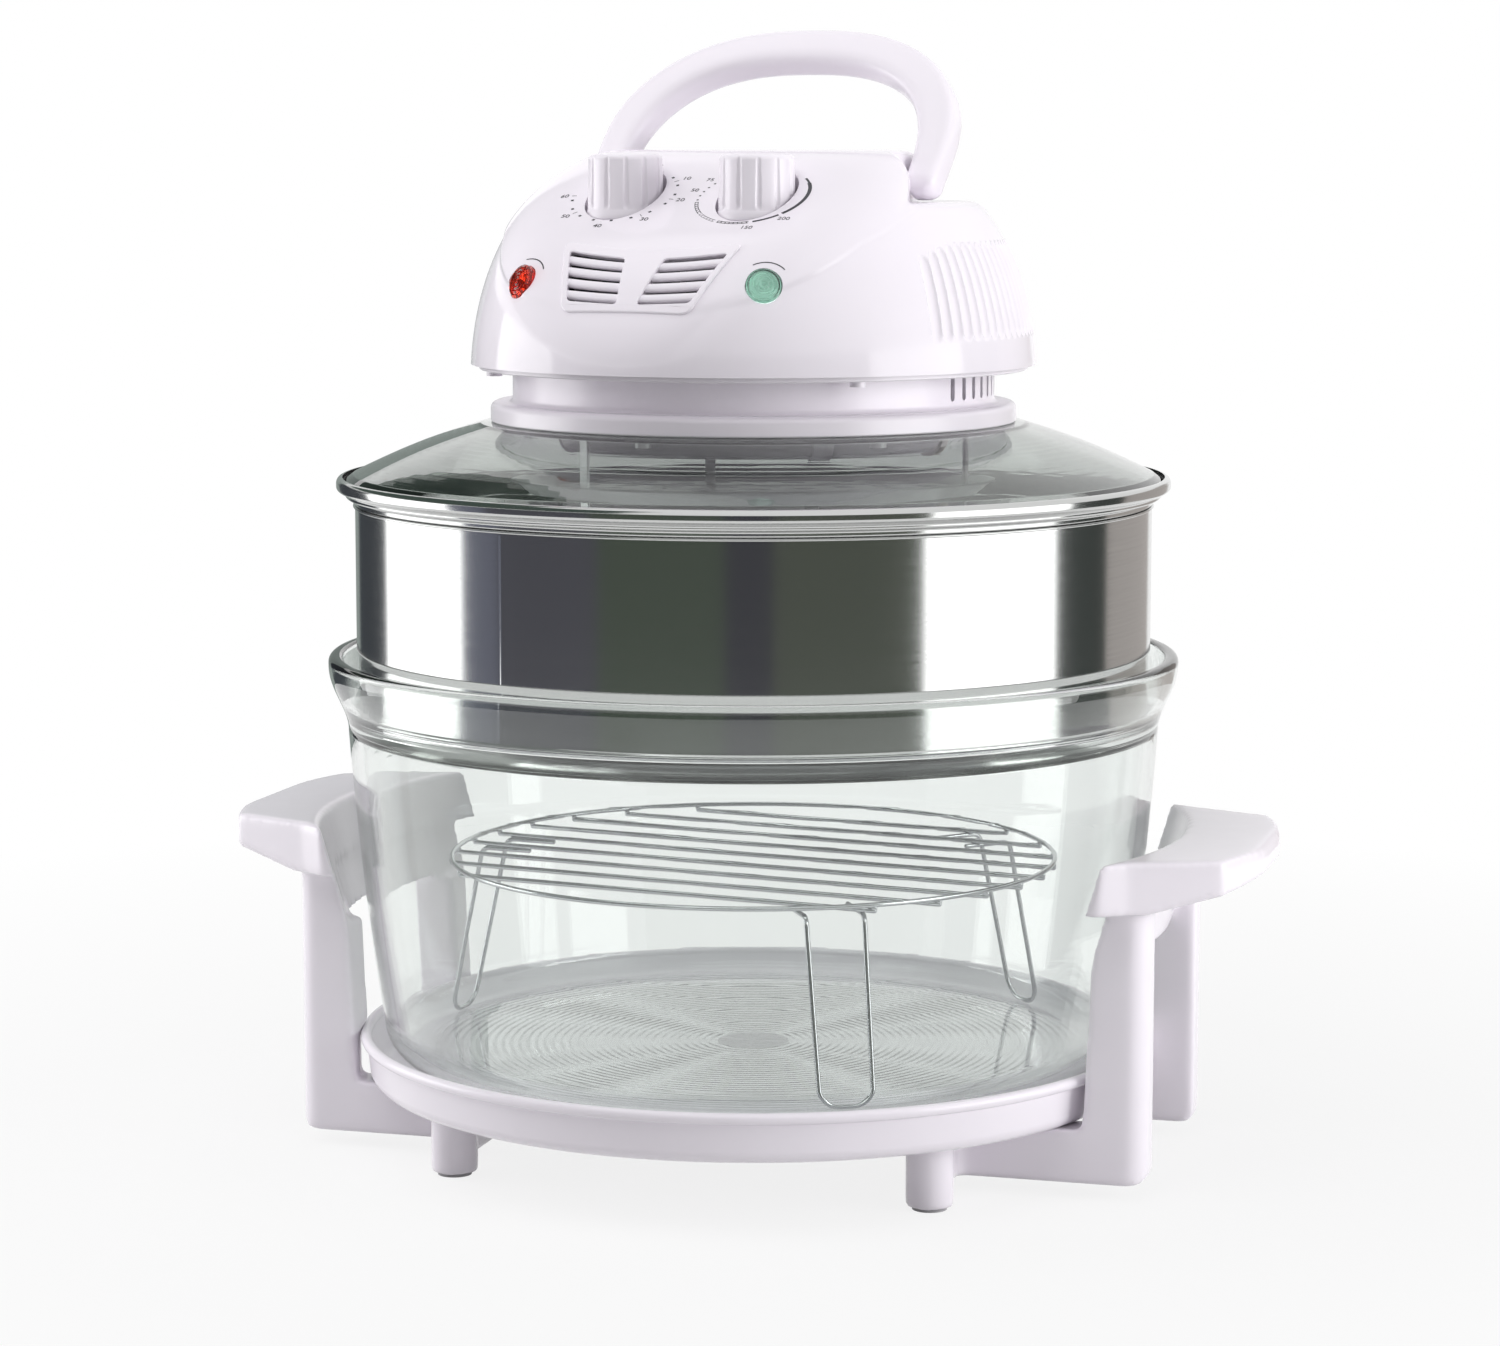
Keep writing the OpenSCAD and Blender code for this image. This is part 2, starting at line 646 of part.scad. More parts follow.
module collar() {
    plate_z = dome_z - plate_t;
    slot_from = -9;
    slot_pitch = 5;
    slot_w = 2;
    slot_foot = collar_foot_z + 2.2;
    slot_head = plate_z - 1.8;
    color("white") difference() {
        union() {
            ring(collar_r - collar_wall, collar_r, collar_foot_z, plate_z - collar_foot_z + 1);
            ring(plate_hole_r, plate_r, plate_z, plate_t);
            at_clamp_screws() translate([0, 0, shield_z + shield_t])
                cylinder(r = boss_r, h = plate_z - shield_z - shield_t + 1);
        }
        at_clamp_screws() translate([0, 0, shield_z])
            cylinder(r = clamp_screw_r + run_gap, h = dome_z - shield_z - 0.9);
        at_dome_screws() translate([0, 0, plate_z - 1])
            cylinder(r = dome_screw_r + seat_gap, h = plate_t + 2);
        on_head() both([1, 0, 0]) for (i = [0:slot_count - 1]) rotate([0, 0, slot_from + slot_pitch * i]) {
            translate([collar_r - 6, -slot_w / 2, slot_foot]) cube([12, slot_w, slot_head - slot_foot]);
            for (z = [slot_foot, slot_head]) translate([collar_r - 6, 0, z]) rotate([0, 90, 0])
                cylinder(r = slot_w / 2, h = 12, $fn = 24);
        }
    }
}

module heat_shield() {
    color("silver") difference() {
        translate([0, 0, shield_z]) cylinder(r = collar_r - collar_wall - 1, h = shield_t);
        translate([0, 0, shield_z - 1]) cylinder(r = shaft_r + 1.5, h = shield_t + 2);
        at_clamp_screws() translate([0, 0, shield_z - 1])
            cylinder(r = clamp_screw_r + seat_gap, h = shield_t + 2);
    }
}

// Heater under the lid
tube_z = glass_under - 2;
tube_wall = 1;
filament_r = 0.8;
tube_turn = 28;
guard_floor_z = lid_z + 4;
guard_t = 0.8;
hanger_r = duct_r + 2;
hanger_turns = [-110, 10, 130];
clip_wall = 0.8;

// A bent bar of the given section radius, between two angles of the heater's circle
module bent_bar(r, from, to) {
    on_head() translate([0, 0, tube_z]) rotate([0, 0, tube_turn + from])
        rotate_extrude(angle = to - from) translate([tube_ring_r, 0]) circle(r = r, $fn = 48);
}

module quartz_tube() {
    color("lightyellow") difference() {
        bent_bar(tube_r, tube_gap / 2, 360 - tube_gap / 2);
        bent_bar(tube_r - tube_wall, tube_gap / 2 - 1, 361 - tube_gap / 2);
    }
}

module filament() {
    color("gray") bent_bar(filament_r, tube_gap / 2, 360 - tube_gap / 2);
}

module tube_caps() {
    cap_r = tube_r + 1.2;
    cap_in = 7;
    cap_out = 3;
    a = tube_gap / 2;
    color("ivory") for (s = [[a - cap_out, a + cap_in, a, a + cap_in + 1],
        [360 - a - cap_in, 360 - a + cap_out, 359 - a - cap_in, 360 - a]]) difference() {
        bent_bar(cap_r, s[0], s[1]);
        bent_bar(tube_r + seal_gap, s[2], s[3]);
    }
}

module tube_clips() {
    clip_w = 3;
    color("silver") for (a = [70, 180, 290]) difference() {
        union() {
            bent_bar(tube_r + clip_wall + seal_gap, a - clip_w, a + clip_w);
            on_head() rotate([0, 0, tube_turn + a]) translate([tube_ring_r - 1, -3, tube_z])
                cube([2, 6, shield_z - tube_z]);
        }
        bent_bar(tube_r + seal_gap, a - clip_w - 1, a + clip_w + 1);
    }
}

module guard_dish() {
    floor_r = guard_r - 5;
    lip_r = guard_r + 1.5;
    rim_z = guard_floor_z + guard_h;
    // each row of holes: how many, and the radius of their circle
    rows = [[8, 22], [16, 40], [24, 58], [28, 75]];
    hole_r = 5;
    middle_r = 8;
    color("silver") difference() {
        turned([[0, guard_floor_z], [floor_r, guard_floor_z], [guard_r, rim_z - guard_t],
            [lip_r, rim_z - guard_t], [lip_r, rim_z], [guard_r - 0.5, rim_z],
            [floor_r - 0.4, guard_floor_z + guard_t], [0, guard_floor_z + guard_t]]);
        for (row = rows, i = [0:row[0] - 1]) rotate([0, 0, 360 * i / row[0]])
            translate([row[1], 0, guard_floor_z - 1]) cylinder(r = hole_r, h = guard_t + 2, $fn = 24);
        translate([0, 0, guard_floor_z - 1]) cylinder(r = middle_r, h = guard_t + 2);
    }
}

module guard_hangers() {
    foot = guard_floor_z + guard_t;
    color("silver") on_head() for (a = hanger_turns) rotate([0, 0, a])
        translate([hanger_r, -2, foot]) cube([1.2, 4, glass_under - clamp_t - foot]);
}

// Housing
dome_top = dome_z + dome_h;
ledge_z = dome_top - ledge_drop;
ledge_front = 4;
ledge_slant = 16.5;
ledge_w = 24;
pod_taper = 6.5;
dome_screw_r = 1.5;
dome_screw_grip = 12.5;
dome_screw_turns = [-140, -40, 40, 140];
dome_screw_ring_r = dome_r - 8;
grille_start = dome_r - 24;
grille_slope = 52.5;
grille_z = dome_top - (grille_start - panel_start) * tan(panel_slope);
well_r = knob_r + 1.3;
well_z = dome_top - 26.5;
spindle_r = 3;
spindle_in = 15;
lens_z = well_z - 22;
lens_tilt = 20.6;
lens_depth = 4;
lamp_l = 18;
pivot_y = 8;
pivot_z = ledge_z + 7;
gland_r = 8;
gland_bore_r = 3.6;
gland_l = 20;
gland_z = dome_z + 12;
grille_t = 1.4;
grille_half = 37;
grille_foot_half = 27;
grille_h = 24;
cut = 2 * dome_r;
flute_pitch = 4.7;
flute_from = -22;
flute_to = 62;

// Half section of the housing at t from 0 at its foot to 1 at its top
function bezier(p, t) = pow(1 - t, 3) * p[0] + 3 * pow(1 - t, 2) * t * p[1]
    + 3 * (1 - t) * t * t * p[2] + pow(t, 3) * p[3];
function dome_point(t, inset) = bezier([[dome_r - inset, 0], [dome_r - 2 - inset, 0.44 * dome_h],
    [dome_r - 17 - 0.8 * inset, 0.81 * dome_h - 0.7 * inset], [dome_r - 47, dome_h - inset]], t);

module at_dome_screws() {
    on_head() for (a = dome_screw_turns) rotate([0, 0, a]) translate([dome_screw_ring_r, 0, 0]) children();
}

// Children with +Z out of the lamp at side s, in the head's directions
module at_lens(s) {
    rotate([0, 0, -90 + s * lens_turn]) translate([dome_point(0.33, 0)[0], 0, lens_z])
        rotate([0, 90 - lens_tilt, 0]) children();
}

// Children in the plane of the grille, +Y up the slope and +Z outwards
module at_grille() {
    translate([0, -grille_start, grille_z]) rotate([grille_slope, 0, 0]) children();
}

// Children at the knobs' axes; s is -1 for the left knob
module at_knob(s) {
    on_head() translate([s * knob_x, -knob_y, 0]) children();
}

// The housing's outer form, drawn in by inset and reaching down past its foot by below
module dome_solid(inset, below = 0) {
    steps = 14;
    side_half = pod_half - inset;
    back_half = side_half - pod_taper;
    front = -ledge_front - ledge_slant - inset;
    difference() {
        translate([0, 0, dome_z]) turned(concat([[0, -below]], below > 0 ? [[dome_r - inset, -below]] : [],
            [for (i = [0:steps]) dome_point(i / steps, inset)], [[0, dome_h - inset]]));
        translate([0, -panel_start, dome_top]) rotate([panel_slope, 0, 0])
            translate([-cut, -cut, -inset]) cube([2 * cut, cut + 5, cut]);
        at_grille() translate([-cut, -cut, -inset]) cube([2 * cut, cut + 5, cut]);
        translate([0, 0, ledge_z - inset]) linear_extrude(dome_h) {
            translate([-cut, pod_back - inset]) square([2 * cut, cut]);
            both([1, 0]) polygon([[back_half, cut], [back_half, pod_back],
                [side_half, pivot_y + 8], [side_half, -ledge_front - inset],
                [pod_half + ledge_w, front], [cut, front], [cut, cut]]);
        }
    }
}

// Cutter for one groove of the fluted panels
module flute_cut(a) {
    deep = 1.2;
    wide = 3.4;
    from = 0.12;
    to = 0.44;
    rotate([0, 0, a - wide / 2]) rotate_extrude(angle = wide) translate([0, dome_z]) polygon(concat(
        [for (i = [0:4]) dome_point(from + (to - from) * i / 4, 0) - [deep, 0]],
        [dome_point(to, 0) + [8, 0], dome_point(from, 0) + [4, 0]]));
}

module grille_outline(inset) {
    top = -1 - inset;
    foot = -1 - grille_h + inset;
    polygon([[inset - grille_half, top], [grille_half - inset, top], [grille_foot_half - inset, foot],
        [inset - grille_foot_half, foot]]);
}

module dome() {
    color("white") on_head() difference() {
        union() {
            difference() {
                dome_solid(0);
                dome_solid(dome_wall, 1);
            }
            intersection() {
                dome_solid(0.2);
                union() {
                    for (s = [-1, 1]) translate([s * knob_x, -knob_y, well_z - dome_wall])
                        cylinder(r = well_r + dome_wall, h = 40);
                    for (a = dome_screw_turns) rotate([0, 0, a]) translate([dome_screw_ring_r, 0, dome_z])
                        cylinder(r = boss_r, h = 20);
                }
            }
        }
        for (s = [-1, 1]) {
            translate([s * knob_x, -knob_y, well_z]) cylinder(r = well_r, h = 40);
            translate([s * knob_x, -knob_y, well_z - 5]) cylinder(r = spindle_r + seat_gap, h = 10);
            at_lens(s) translate([0, 0, -8]) cylinder(r = lens_r + seat_gap, h = 20);
            translate([s * (pod_half - 10), pivot_y, pivot_z]) rotate([0, s * 90, 0])
                cylinder(r = pin_r + seat_gap, h = 20);
        }
        for (a = dome_screw_turns) rotate([0, 0, a]) translate([dome_screw_ring_r, 0, dome_z - 1])
            cylinder(r = dome_screw_r + run_gap, h = dome_screw_grip + 1.5);
        at_grille() {
            translate([0, 0, -grille_t]) linear_extrude(10) grille_outline(0);
            translate([0, 0, -10]) linear_extrude(20) grille_outline(1.5);
        }
        both([1, 0, 0]) for (a = [flute_from:flute_pitch:flute_to]) flute_cut(a);
        translate([0, dome_r - 25, gland_z]) rotate([-90, 0, 0])
            cylinder(r = gland_r - 1.5 + seat_gap, h = 40);
    }
}

module dome_screws() {
    color("silver") at_dome_screws() {
        translate([0, 0, dome_z - plate_t - cap_h]) cylinder(r = 2 * dome_screw_r, h = cap_h);
        translate([0, 0, dome_z - plate_t - 0.5]) cylinder(r = dome_screw_r, h = plate_t + dome_screw_grip);
    }
}

module front_grille() {
    slot_h = 2;
    slot_pitch = 4.3;
    first_slot = 4.6;
    bow_r = 160;
    color("whitesmoke") on_head() at_grille() difference() {
        translate([0, 0, -grille_t]) linear_extrude(grille_t) grille_outline(0.15);
        translate([0, 0, -5]) linear_extrude(10) both([1, 0]) intersection() {
            polygon([[8, 0], [31.5, 0], [25, -30], [4.5, -30]]);
            for (i = [0:4]) translate([0, bow_r - first_slot - slot_pitch * i]) difference() {
                circle(r = bow_r + slot_h / 2, $fn = 180);
                circle(r = bow_r - slot_h / 2, $fn = 180);
            }
        }
    }
}

module lens(s) {
    stem_r = lens_r - 1;
    on_head() at_lens(s) turned([[0, -lens_depth], [stem_r, -lens_depth], [stem_r, -dome_wall],
        [lens_r, -dome_wall], [lens_r, 0.6], [lens_r - 0.8, 1.4], [0, 1.8]]);
}

module power_lens() { color("red") lens(-1); }

module heat_lens() { color("limegreen") lens(1); }

module lamp_holders() {
    color("dimgray") for (s = [-1, 1]) on_head() at_lens(s) translate([0, 0, -lens_depth - lamp_l])
        cylinder(r = lens_r - 1.6, h = lamp_l);
}

module spindle_body(s) {
    size = 30;
    depth = 22;
    body_top = well_z - dome_wall - seat_gap;
    color("gray") at_knob(s) difference() {
        translate([-size / 2, -size / 2, body_top - depth]) cube([size, size, depth]);
        translate([0, 0, well_z - spindle_in]) cylinder(r = spindle_r + run_gap, h = 2 * depth);
    }
}

module timer_body() { spindle_body(-1); }

module thermostat_body() { spindle_body(1); }

// Motor and fans
bracket_h = 10;
motor_h = 28;
motor_z = dome_z + bracket_h;
hot_fan_z = glass_top + 1;
cool_fan_z = motor_z + motor_h + 3;
fan_h = 9;

module motor_bracket() {
    plate = 2;
    leg = 10;
    leg_t = 2.5;
    out_r = plate_hole_r + 6;
    color("silver") {
        ring(shaft_r + 4, out_r, motor_z - plate, plate);
        for (a = [0:60:300]) rotate([0, 0, a]) translate([out_r - leg_t - 1, -leg / 2, dome_z])
            cube([leg_t, leg, bracket_h - plate + 0.5]);
    }
}

module fan_motor() {
    color("gray") ring(shaft_r + run_gap, motor_r, motor_z, motor_h);
}

module terminal_block() {
    size = [28, 14, 11];
    pitch = 9;
    color("white") on_head() translate([0, dome_r - 47, dome_z]) difference() {
        translate([-size[0] / 2, 0, 0]) cube(size);
        for (i = [-1:1]) translate([i * pitch, size[1] / 2, 4]) cylinder(r = 2, h = size[2], $fn = 24);
    }
}

module handle_switch() {
    size = [11, 12, 16];
    right = pod_half - dome_wall - 4;
    top = dome_top - dome_wall - seat_gap;
    color("dimgray") on_head() translate([right - size[0], pivot_y - size[1] / 2, top - size[2]]) cube(size);
}

module cord_gland() {
    in = 11;
    nose = in + 1.4;
    color("black") on_head() translate([0, dome_point(0.12, 0)[0] - in, gland_z]) rotate([-90, 0, 0])
        difference() {
            union() {
                cylinder(r = gland_r - 1.5, h = in + 2);
                cylinder(r = gland_r, h = in - dome_wall - 3.5);
                translate([0, 0, nose]) cylinder(r1 = gland_r, r2 = gland_r - 2, h = gland_l - nose);
            }
            translate([0, 0, -1]) cylinder(r = gland_bore_r, h = gland_l + 2);
        }
}

module pivot_pins() {
    head_in = 3;
    color("silver") on_head() for (s = [-1, 1])
        translate([s * (pod_half - dome_wall - head_in), pivot_y, pivot_z]) rotate([0, s * 90, 0]) {
            cylinder(r = pin_r + 2, h = head_in - seat_gap);
            cylinder(r = pin_r, h = dome_wall + head_in + pin_reach);
        }
}

module motor_shaft() {
    color("silver") translate([0, 0, hot_fan_z - 1])
        cylinder(r = shaft_r, h = cool_fan_z + fan_h + 1 - hot_fan_z);
}

// A fan of flat blades on a hub, with a back plate when plate is over 0
module fan(r, h, blades, pitch, plate) {
    hub_r = shaft_r + 4;
    difference() {
        union() {
            cylinder(r = hub_r, h = h);
            if (plate > 0) cylinder(r = r - 4, h = plate);
            intersection() {
                cylinder(r = r, h = h);
                for (i = [0:blades - 1]) rotate([0, 0, 360 * i / blades]) translate([hub_r - 1, 0, h / 2])
                    rotate([pitch, 0, 0]) translate([0, -0.5, -h]) cube([r, 1, 2 * h]);
            }
        }
        translate([0, 0, -1]) cylinder(r = shaft_r + run_gap, h = h + 2);
    }
}

module hot_air_fan() {
    color("silver") translate([0, 0, hot_fan_z + fan_h]) mirror([0, 0, 1]) fan(hot_fan_r, fan_h, 8, 0, 1);
}

module cooling_fan() {
    color("gray") translate([0, 0, cool_fan_z]) fan(cool_fan_r, fan_h, 7, 35, 0);
}

// Knobs
knob_z = well_z + 0.5;

module knob() {
    skirt = 3;
    grip_z = knob_z + skirt + 1;
    top = knob_z + knob_h;
    flute_r = 3.2;
    pointer_w = 1.4;
    difference() {
        turned(concat([[0, knob_z], [knob_r, knob_z], [knob_r, knob_z + skirt], [knob_r - 0.7, grip_z]],
            arc(knob_r - 3.2, top - 2, 2, 0, 90, 5), [[0, top]]));
        for (i = [0:knob_flutes - 1]) rotate([0, 0, 360 * i / knob_flutes])
            translate([knob_r + flute_r / 2, 0, grip_z]) cylinder(r = flute_r, h = knob_h, $fn = 32);
        translate([0, 0, knob_z - 1]) cylinder(r = spindle_r + run_gap, h = knob_h - 3.5);
        translate([-pointer_w / 2, -knob_r + 2.5, top - 0.5]) cube([pointer_w, knob_r - 4, 2]);
    }
}

module timer_knob() { color("white") at_knob(-1) knob(); }

module thermostat_knob() { color("white") at_knob(1) knob(); }

module spindle(s) {
    color("silver") at_knob(s) translate([0, 0, well_z - spindle_in])
        cylinder(r = spindle_r, h = spindle_in + knob_h - 4.5);
}

module timer_spindle() { spindle(-1); }

module thermostat_spindle() { spindle(1); }

// Carry handle
pin_reach = 11.5;
arch_power = 0.8;
bar_power = 0.57;
eye_proud = 0.15;

// A power of v that keeps its sign
function signed_pow(v, k) = sign(v) * pow(abs(v), k);

module carry_handle() {
    half = handle_half - handle_bar_w / 2;
    rise = handle_reach - handle_bar_w / 2;
    bar = [for (i = [0:15]) let (a = 360 * i / 16) [handle_bar_w / 2 * signed_pow(cos(a), bar_power),
        handle_bar_t / 2 * signed_pow(sin(a), bar_power)]];
    arch = [for (i = [0:32]) let (a = 180 * i / 32)
        [half * signed_pow(cos(a), arch_power), 0, rise * pow(sin(a), arch_power)]];
    color("white") on_head() translate([0, pivot_y, pivot_z]) rotate([-handle_lean, 0, 0]) difference() {
        union() {
            swept(arch, bar, [1, 0, 0]);
            both([1, 0, 0]) translate([half - handle_bar_w / 2 - eye_proud, 0, 0]) rotate([0, 90, 0])
                cylinder(r = handle_bar_t / 2 + eye_proud, h = handle_bar_w + 2 * eye_proud);
        }
        both([1, 0, 0]) translate([half - handle_bar_w / 2 - 5, 0, 0]) rotate([0, 90, 0])
            cylinder(r = pin_r + run_gap, h = 5 + pin_reach);
    }
}

tray();
side_handle_left();
side_handle_right();
foot_pads();
stand_screws();
glass_bowl();
steel_ring();
rack_ring();
rack_wires();
rack_legs();
lid_glass();
lid_seal();
lid_band();
lid_flange();
clamp_ring();
clamp_screws();
collar();
heat_shield();
guard_dish();
guard_hangers();
quartz_tube();
filament();
tube_caps();
tube_clips();
dome();
dome_screws();
front_grille();
power_lens();
heat_lens();
lamp_holders();
timer_body();
thermostat_body();
motor_bracket();
fan_motor();
terminal_block();
handle_switch();
cord_gland();
pivot_pins();
motor_shaft();
hot_air_fan();
cooling_fan();
timer_knob();
timer_spindle();
thermostat_knob();
thermostat_spindle();
carry_handle();
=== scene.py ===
"""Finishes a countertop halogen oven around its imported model.

Each operator dresses one piece or one group of like pieces, in metres and in the
model's own frame. Lengths in the code are millimetres until a mesh is made.
"""

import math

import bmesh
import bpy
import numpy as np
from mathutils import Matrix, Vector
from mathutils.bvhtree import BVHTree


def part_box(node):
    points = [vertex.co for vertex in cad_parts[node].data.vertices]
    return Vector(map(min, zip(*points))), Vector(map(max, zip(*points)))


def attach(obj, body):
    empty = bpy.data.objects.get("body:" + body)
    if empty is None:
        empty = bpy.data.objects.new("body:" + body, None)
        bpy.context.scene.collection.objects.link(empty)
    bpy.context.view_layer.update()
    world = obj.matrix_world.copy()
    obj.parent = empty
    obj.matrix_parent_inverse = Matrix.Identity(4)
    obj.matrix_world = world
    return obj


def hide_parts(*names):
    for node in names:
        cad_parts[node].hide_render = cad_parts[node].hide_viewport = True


bl_info = {
    "name": "Halogen Oven Finish",
    "version": (1, 0, 0),
    "blender": (4, 5, 0),
    "location": "View3D > Sidebar > Oven",
    "description": "Models the visible pieces of a countertop halogen oven and gives them their finishes",
    "category": "Object",
}

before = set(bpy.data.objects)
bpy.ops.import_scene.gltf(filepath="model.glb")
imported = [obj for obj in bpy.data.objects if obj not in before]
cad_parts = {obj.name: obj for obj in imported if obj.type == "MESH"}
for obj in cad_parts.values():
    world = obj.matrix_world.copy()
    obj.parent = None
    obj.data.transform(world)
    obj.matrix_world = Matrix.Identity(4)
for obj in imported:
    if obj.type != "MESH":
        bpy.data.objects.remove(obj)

MM = 0.001
# turn of the head on the lid, in degrees
HEAD_TURN = 12
HEAD = Matrix.Rotation(math.radians(-HEAD_TURN), 4, 'Z')
# outer radius of the collar's wall
COLLAR_R = 93
# the carry handle's pivot behind the axis and above the ledge
PIVOT_BACK, PIVOT_RISE = 8, 7
# radius of a bore that turns on a pin or a spindle
BORE_R = 3.05
# windows of the grille on its sloping face: the inner and outer side at the top and at the foot,
# and the heights of both
WINDOW_TOP, WINDOW_FOOT, WINDOW_Y = (8.3, 33.2), (4.2, 25.7), (-1.7, -22.9)


# Sizes read from the frame

def low(node):
    """Lowest point of a node, in millimetres."""
    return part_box(node)[0].z / MM


def high(node):
    """Highest point of a node, in millimetres."""
    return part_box(node)[1].z / MM


def reach(node):
    """Half the width of a round node that stands on the centre, in millimetres."""
    return (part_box(node)[1].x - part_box(node)[0].x) / 2 / MM


def ring_wall_r():
    """Outer radius of the steel ring's wall, which lies inside its rolled lip, in millimetres."""
    return reach("steel_ring") - 2 * bpy.context.scene.oven_steel.lip / MM


DOME_Z = low("dome")
DOME_TOP = high("dome")


# Properties

def linear(hex_colour):
    """Linear red, green and blue of an sRGB value such as F1F0F4."""
    channels = [int(hex_colour[i:i + 2], 16) / 255 for i in (0, 2, 4)]
    return [c / 12.92 if c <= 0.04045 else ((c + 0.055) / 1.055) ** 2.4 for c in channels]


def length(name, text, millimetres):
    """A property that holds a length."""
    return bpy.props.FloatProperty(name=name, description=text, default=millimetres * MM, precision=5,
                                   unit='LENGTH')


def angle(name, text, degrees):
    """A property that holds an angle."""
    return bpy.props.FloatProperty(name=name, description=text, default=math.radians(degrees),
                                   subtype='ANGLE')


def colour(name, text, hex_colour):
    """A property that holds a colour."""
    return bpy.props.FloatVectorProperty(name=name, description=text, default=linear(hex_colour), size=3,
                                         min=0, max=1, subtype='COLOR')


def count(name, text, number):
    """A property that holds a number of like things."""
    return bpy.props.IntProperty(name=name, description=text, default=number, min=1)


class OvenStand(bpy.types.PropertyGroup):
    rim_roll: length("Rim roll", "Radius of the tray's rolled rim", 2.2)
    tray_wall: length("Tray wall", "Thickness of the tray", 3)
    seat_inset: length("Seat inset", "Distance from the tray's rim in to the edge of the raised seat", 42.4)
    seat_h: length("Seat height", "Height of the raised seat above the tray's underside", 9)
    softness: length("Softness", "Size of the cells that round the side handles' edges", 1.3)


class OvenBowl(bpy.types.PropertyGroup):
    wall: length("Wall", "Thickness of the bowl's glass", 5)
    taper: length("Taper", "Narrowing of the bowl from its rim to the foot of its wall", 20)
    bend: length("Bend", "Radius between the bowl's floor and wall", 16)
    flare_h: length("Flare height", "Height of the flare below the rim", 29)
    flare_w: length("Flare width", "How far the rim stands out from the wall", 7.5)
    ledge: length("Ledge depth", "Depth of the ledge that the steel ring stands on, below the rim", 19.6)
    ripples: count("Ripples", "Number of moulded rings under the floor", 34)


class OvenSteel(bpy.types.PropertyGroup):
    wall: length("Sheet", "Thickness of the sheet steel", 0.8)
    step_h: length("Step height", "Height of the step above the ring's foot", 20.5)
    lip: length("Lip", "Radius of the ring's rolled lip", 1.6)
    seam_turn: angle("Seam turn", "Direction of the ring's welded seam, from +X", -110)


class OvenRack(bpy.types.PropertyGroup):
    wire: length("Wire", "Radius of the rack's wires", 0.95)
    pitch: length("Pitch", "Distance between the straight wires", 22)
    shift: length("Shift", "Distance of the middle wire from the centre", 7)
    turn: angle("Turn", "Turn of the straight wires from X", -9)
    leg_w: length("Leg width", "Distance between the two sides of a leg", 22)


class OvenLid(bpy.types.PropertyGroup):
    glass: length("Glass", "Thickness of the lid's glass", 4)
    fall: length("Fall", "Fall of the lid's glass from its collar to its edge", 21.6)
    slot_w: length("Slot width", "Width of an air slot in the collar", 2.7)
    slots: count("Slots", "Number of air slots on each side of the collar", 12)


class OvenHousing(bpy.types.PropertyGroup):
    wall: length("Wall", "Wall of the housing", 2.5)
    panel_slope: angle("Panel slope", "Slope of the control panel", 31.4)
    panel_start: length("Panel start", "Distance from the centre to the panel's upper edge", 23)
    grille_slope: angle("Grille slope", "Slope of the face that carries the grille", 52.5)
    grille_inset: length("Grille inset", "Distance from the housing's foot in to the grille's upper edge", 24)
    ledge_drop: length("Ledge drop", "Depth of the ledge below the housing's top", 19.5)
    pod_inset: length("Block inset", "Distance from the housing's foot in to the raised block's side", 47.5)
    pod_back: length("Block back", "Distance from the centre to the back of the raised block", 32)
    cowl: length("Cowl", "How far the front stands proud of the sides", 1.3)
    flute_pitch: angle("Flute pitch", "Turn from one flute to the next", 2.93)
    flute_depth: length("Flute depth", "Depth of a flute", 1.2)
    flutes: count("Flutes", "Number of flutes on each side", 30)


class OvenControls(bpy.types.PropertyGroup):
    knob_x: length("Knob spacing", "Distance from the centre plane to a knob's axis", 28)
    knob_inset: length("Knob inset", "Distance from the housing's foot in to the knobs' axes", 59)
    flutes: count("Flutes", "Number of flutes round a knob", 12)
    well_gap: length("Well gap", "Gap between a knob and its well", 0.8)
    lens_turn: angle("Lamp turn", "Turn of each lamp from the head's front", 30)
    lens_tilt: angle("Lamp tilt", "Tilt of each lamp upwards", 20.6)
    marks: length("Marks", "Radius of the circle of marks round a knob", 21.3)


class OvenHandle(bpy.types.PropertyGroup):
    bar_w: length("Bar width", "Size of the bar in the plane of the arch", 16.4)
    bar_t: length("Bar depth", "Size of the bar across the plane of the arch", 13)
    lean: angle("Lean", "Lean of the raised handle from upright", 38)
    arm: length("Arm", "Distance from the pivot to the top of the arch", 72)


class OvenFinish(bpy.types.PropertyGroup):
    white: colour("White plastic", "Colour of the moulded housing, stand and handles", "F3EEF5")
    glass_tint: colour("Glass tint", "Colour of light that has passed a thick piece of the glass", "B4C2BA")
    bowl_clear: colour("Bowl glass", "Colour of light that has passed one wall of the bowl", "FAFCFB")
    lid_clear: colour("Lid glass", "Colour of light that has passed the lid's smoked glass", "D6DAD7")
    red: colour("Red lamp", "Colour of the power lamp", "E83A1E")
    green: colour("Green lamp", "Colour of the heat lamp", "DEFBF0")
    ink: colour("Ink", "Colour of the printed marks", "3A3A40")


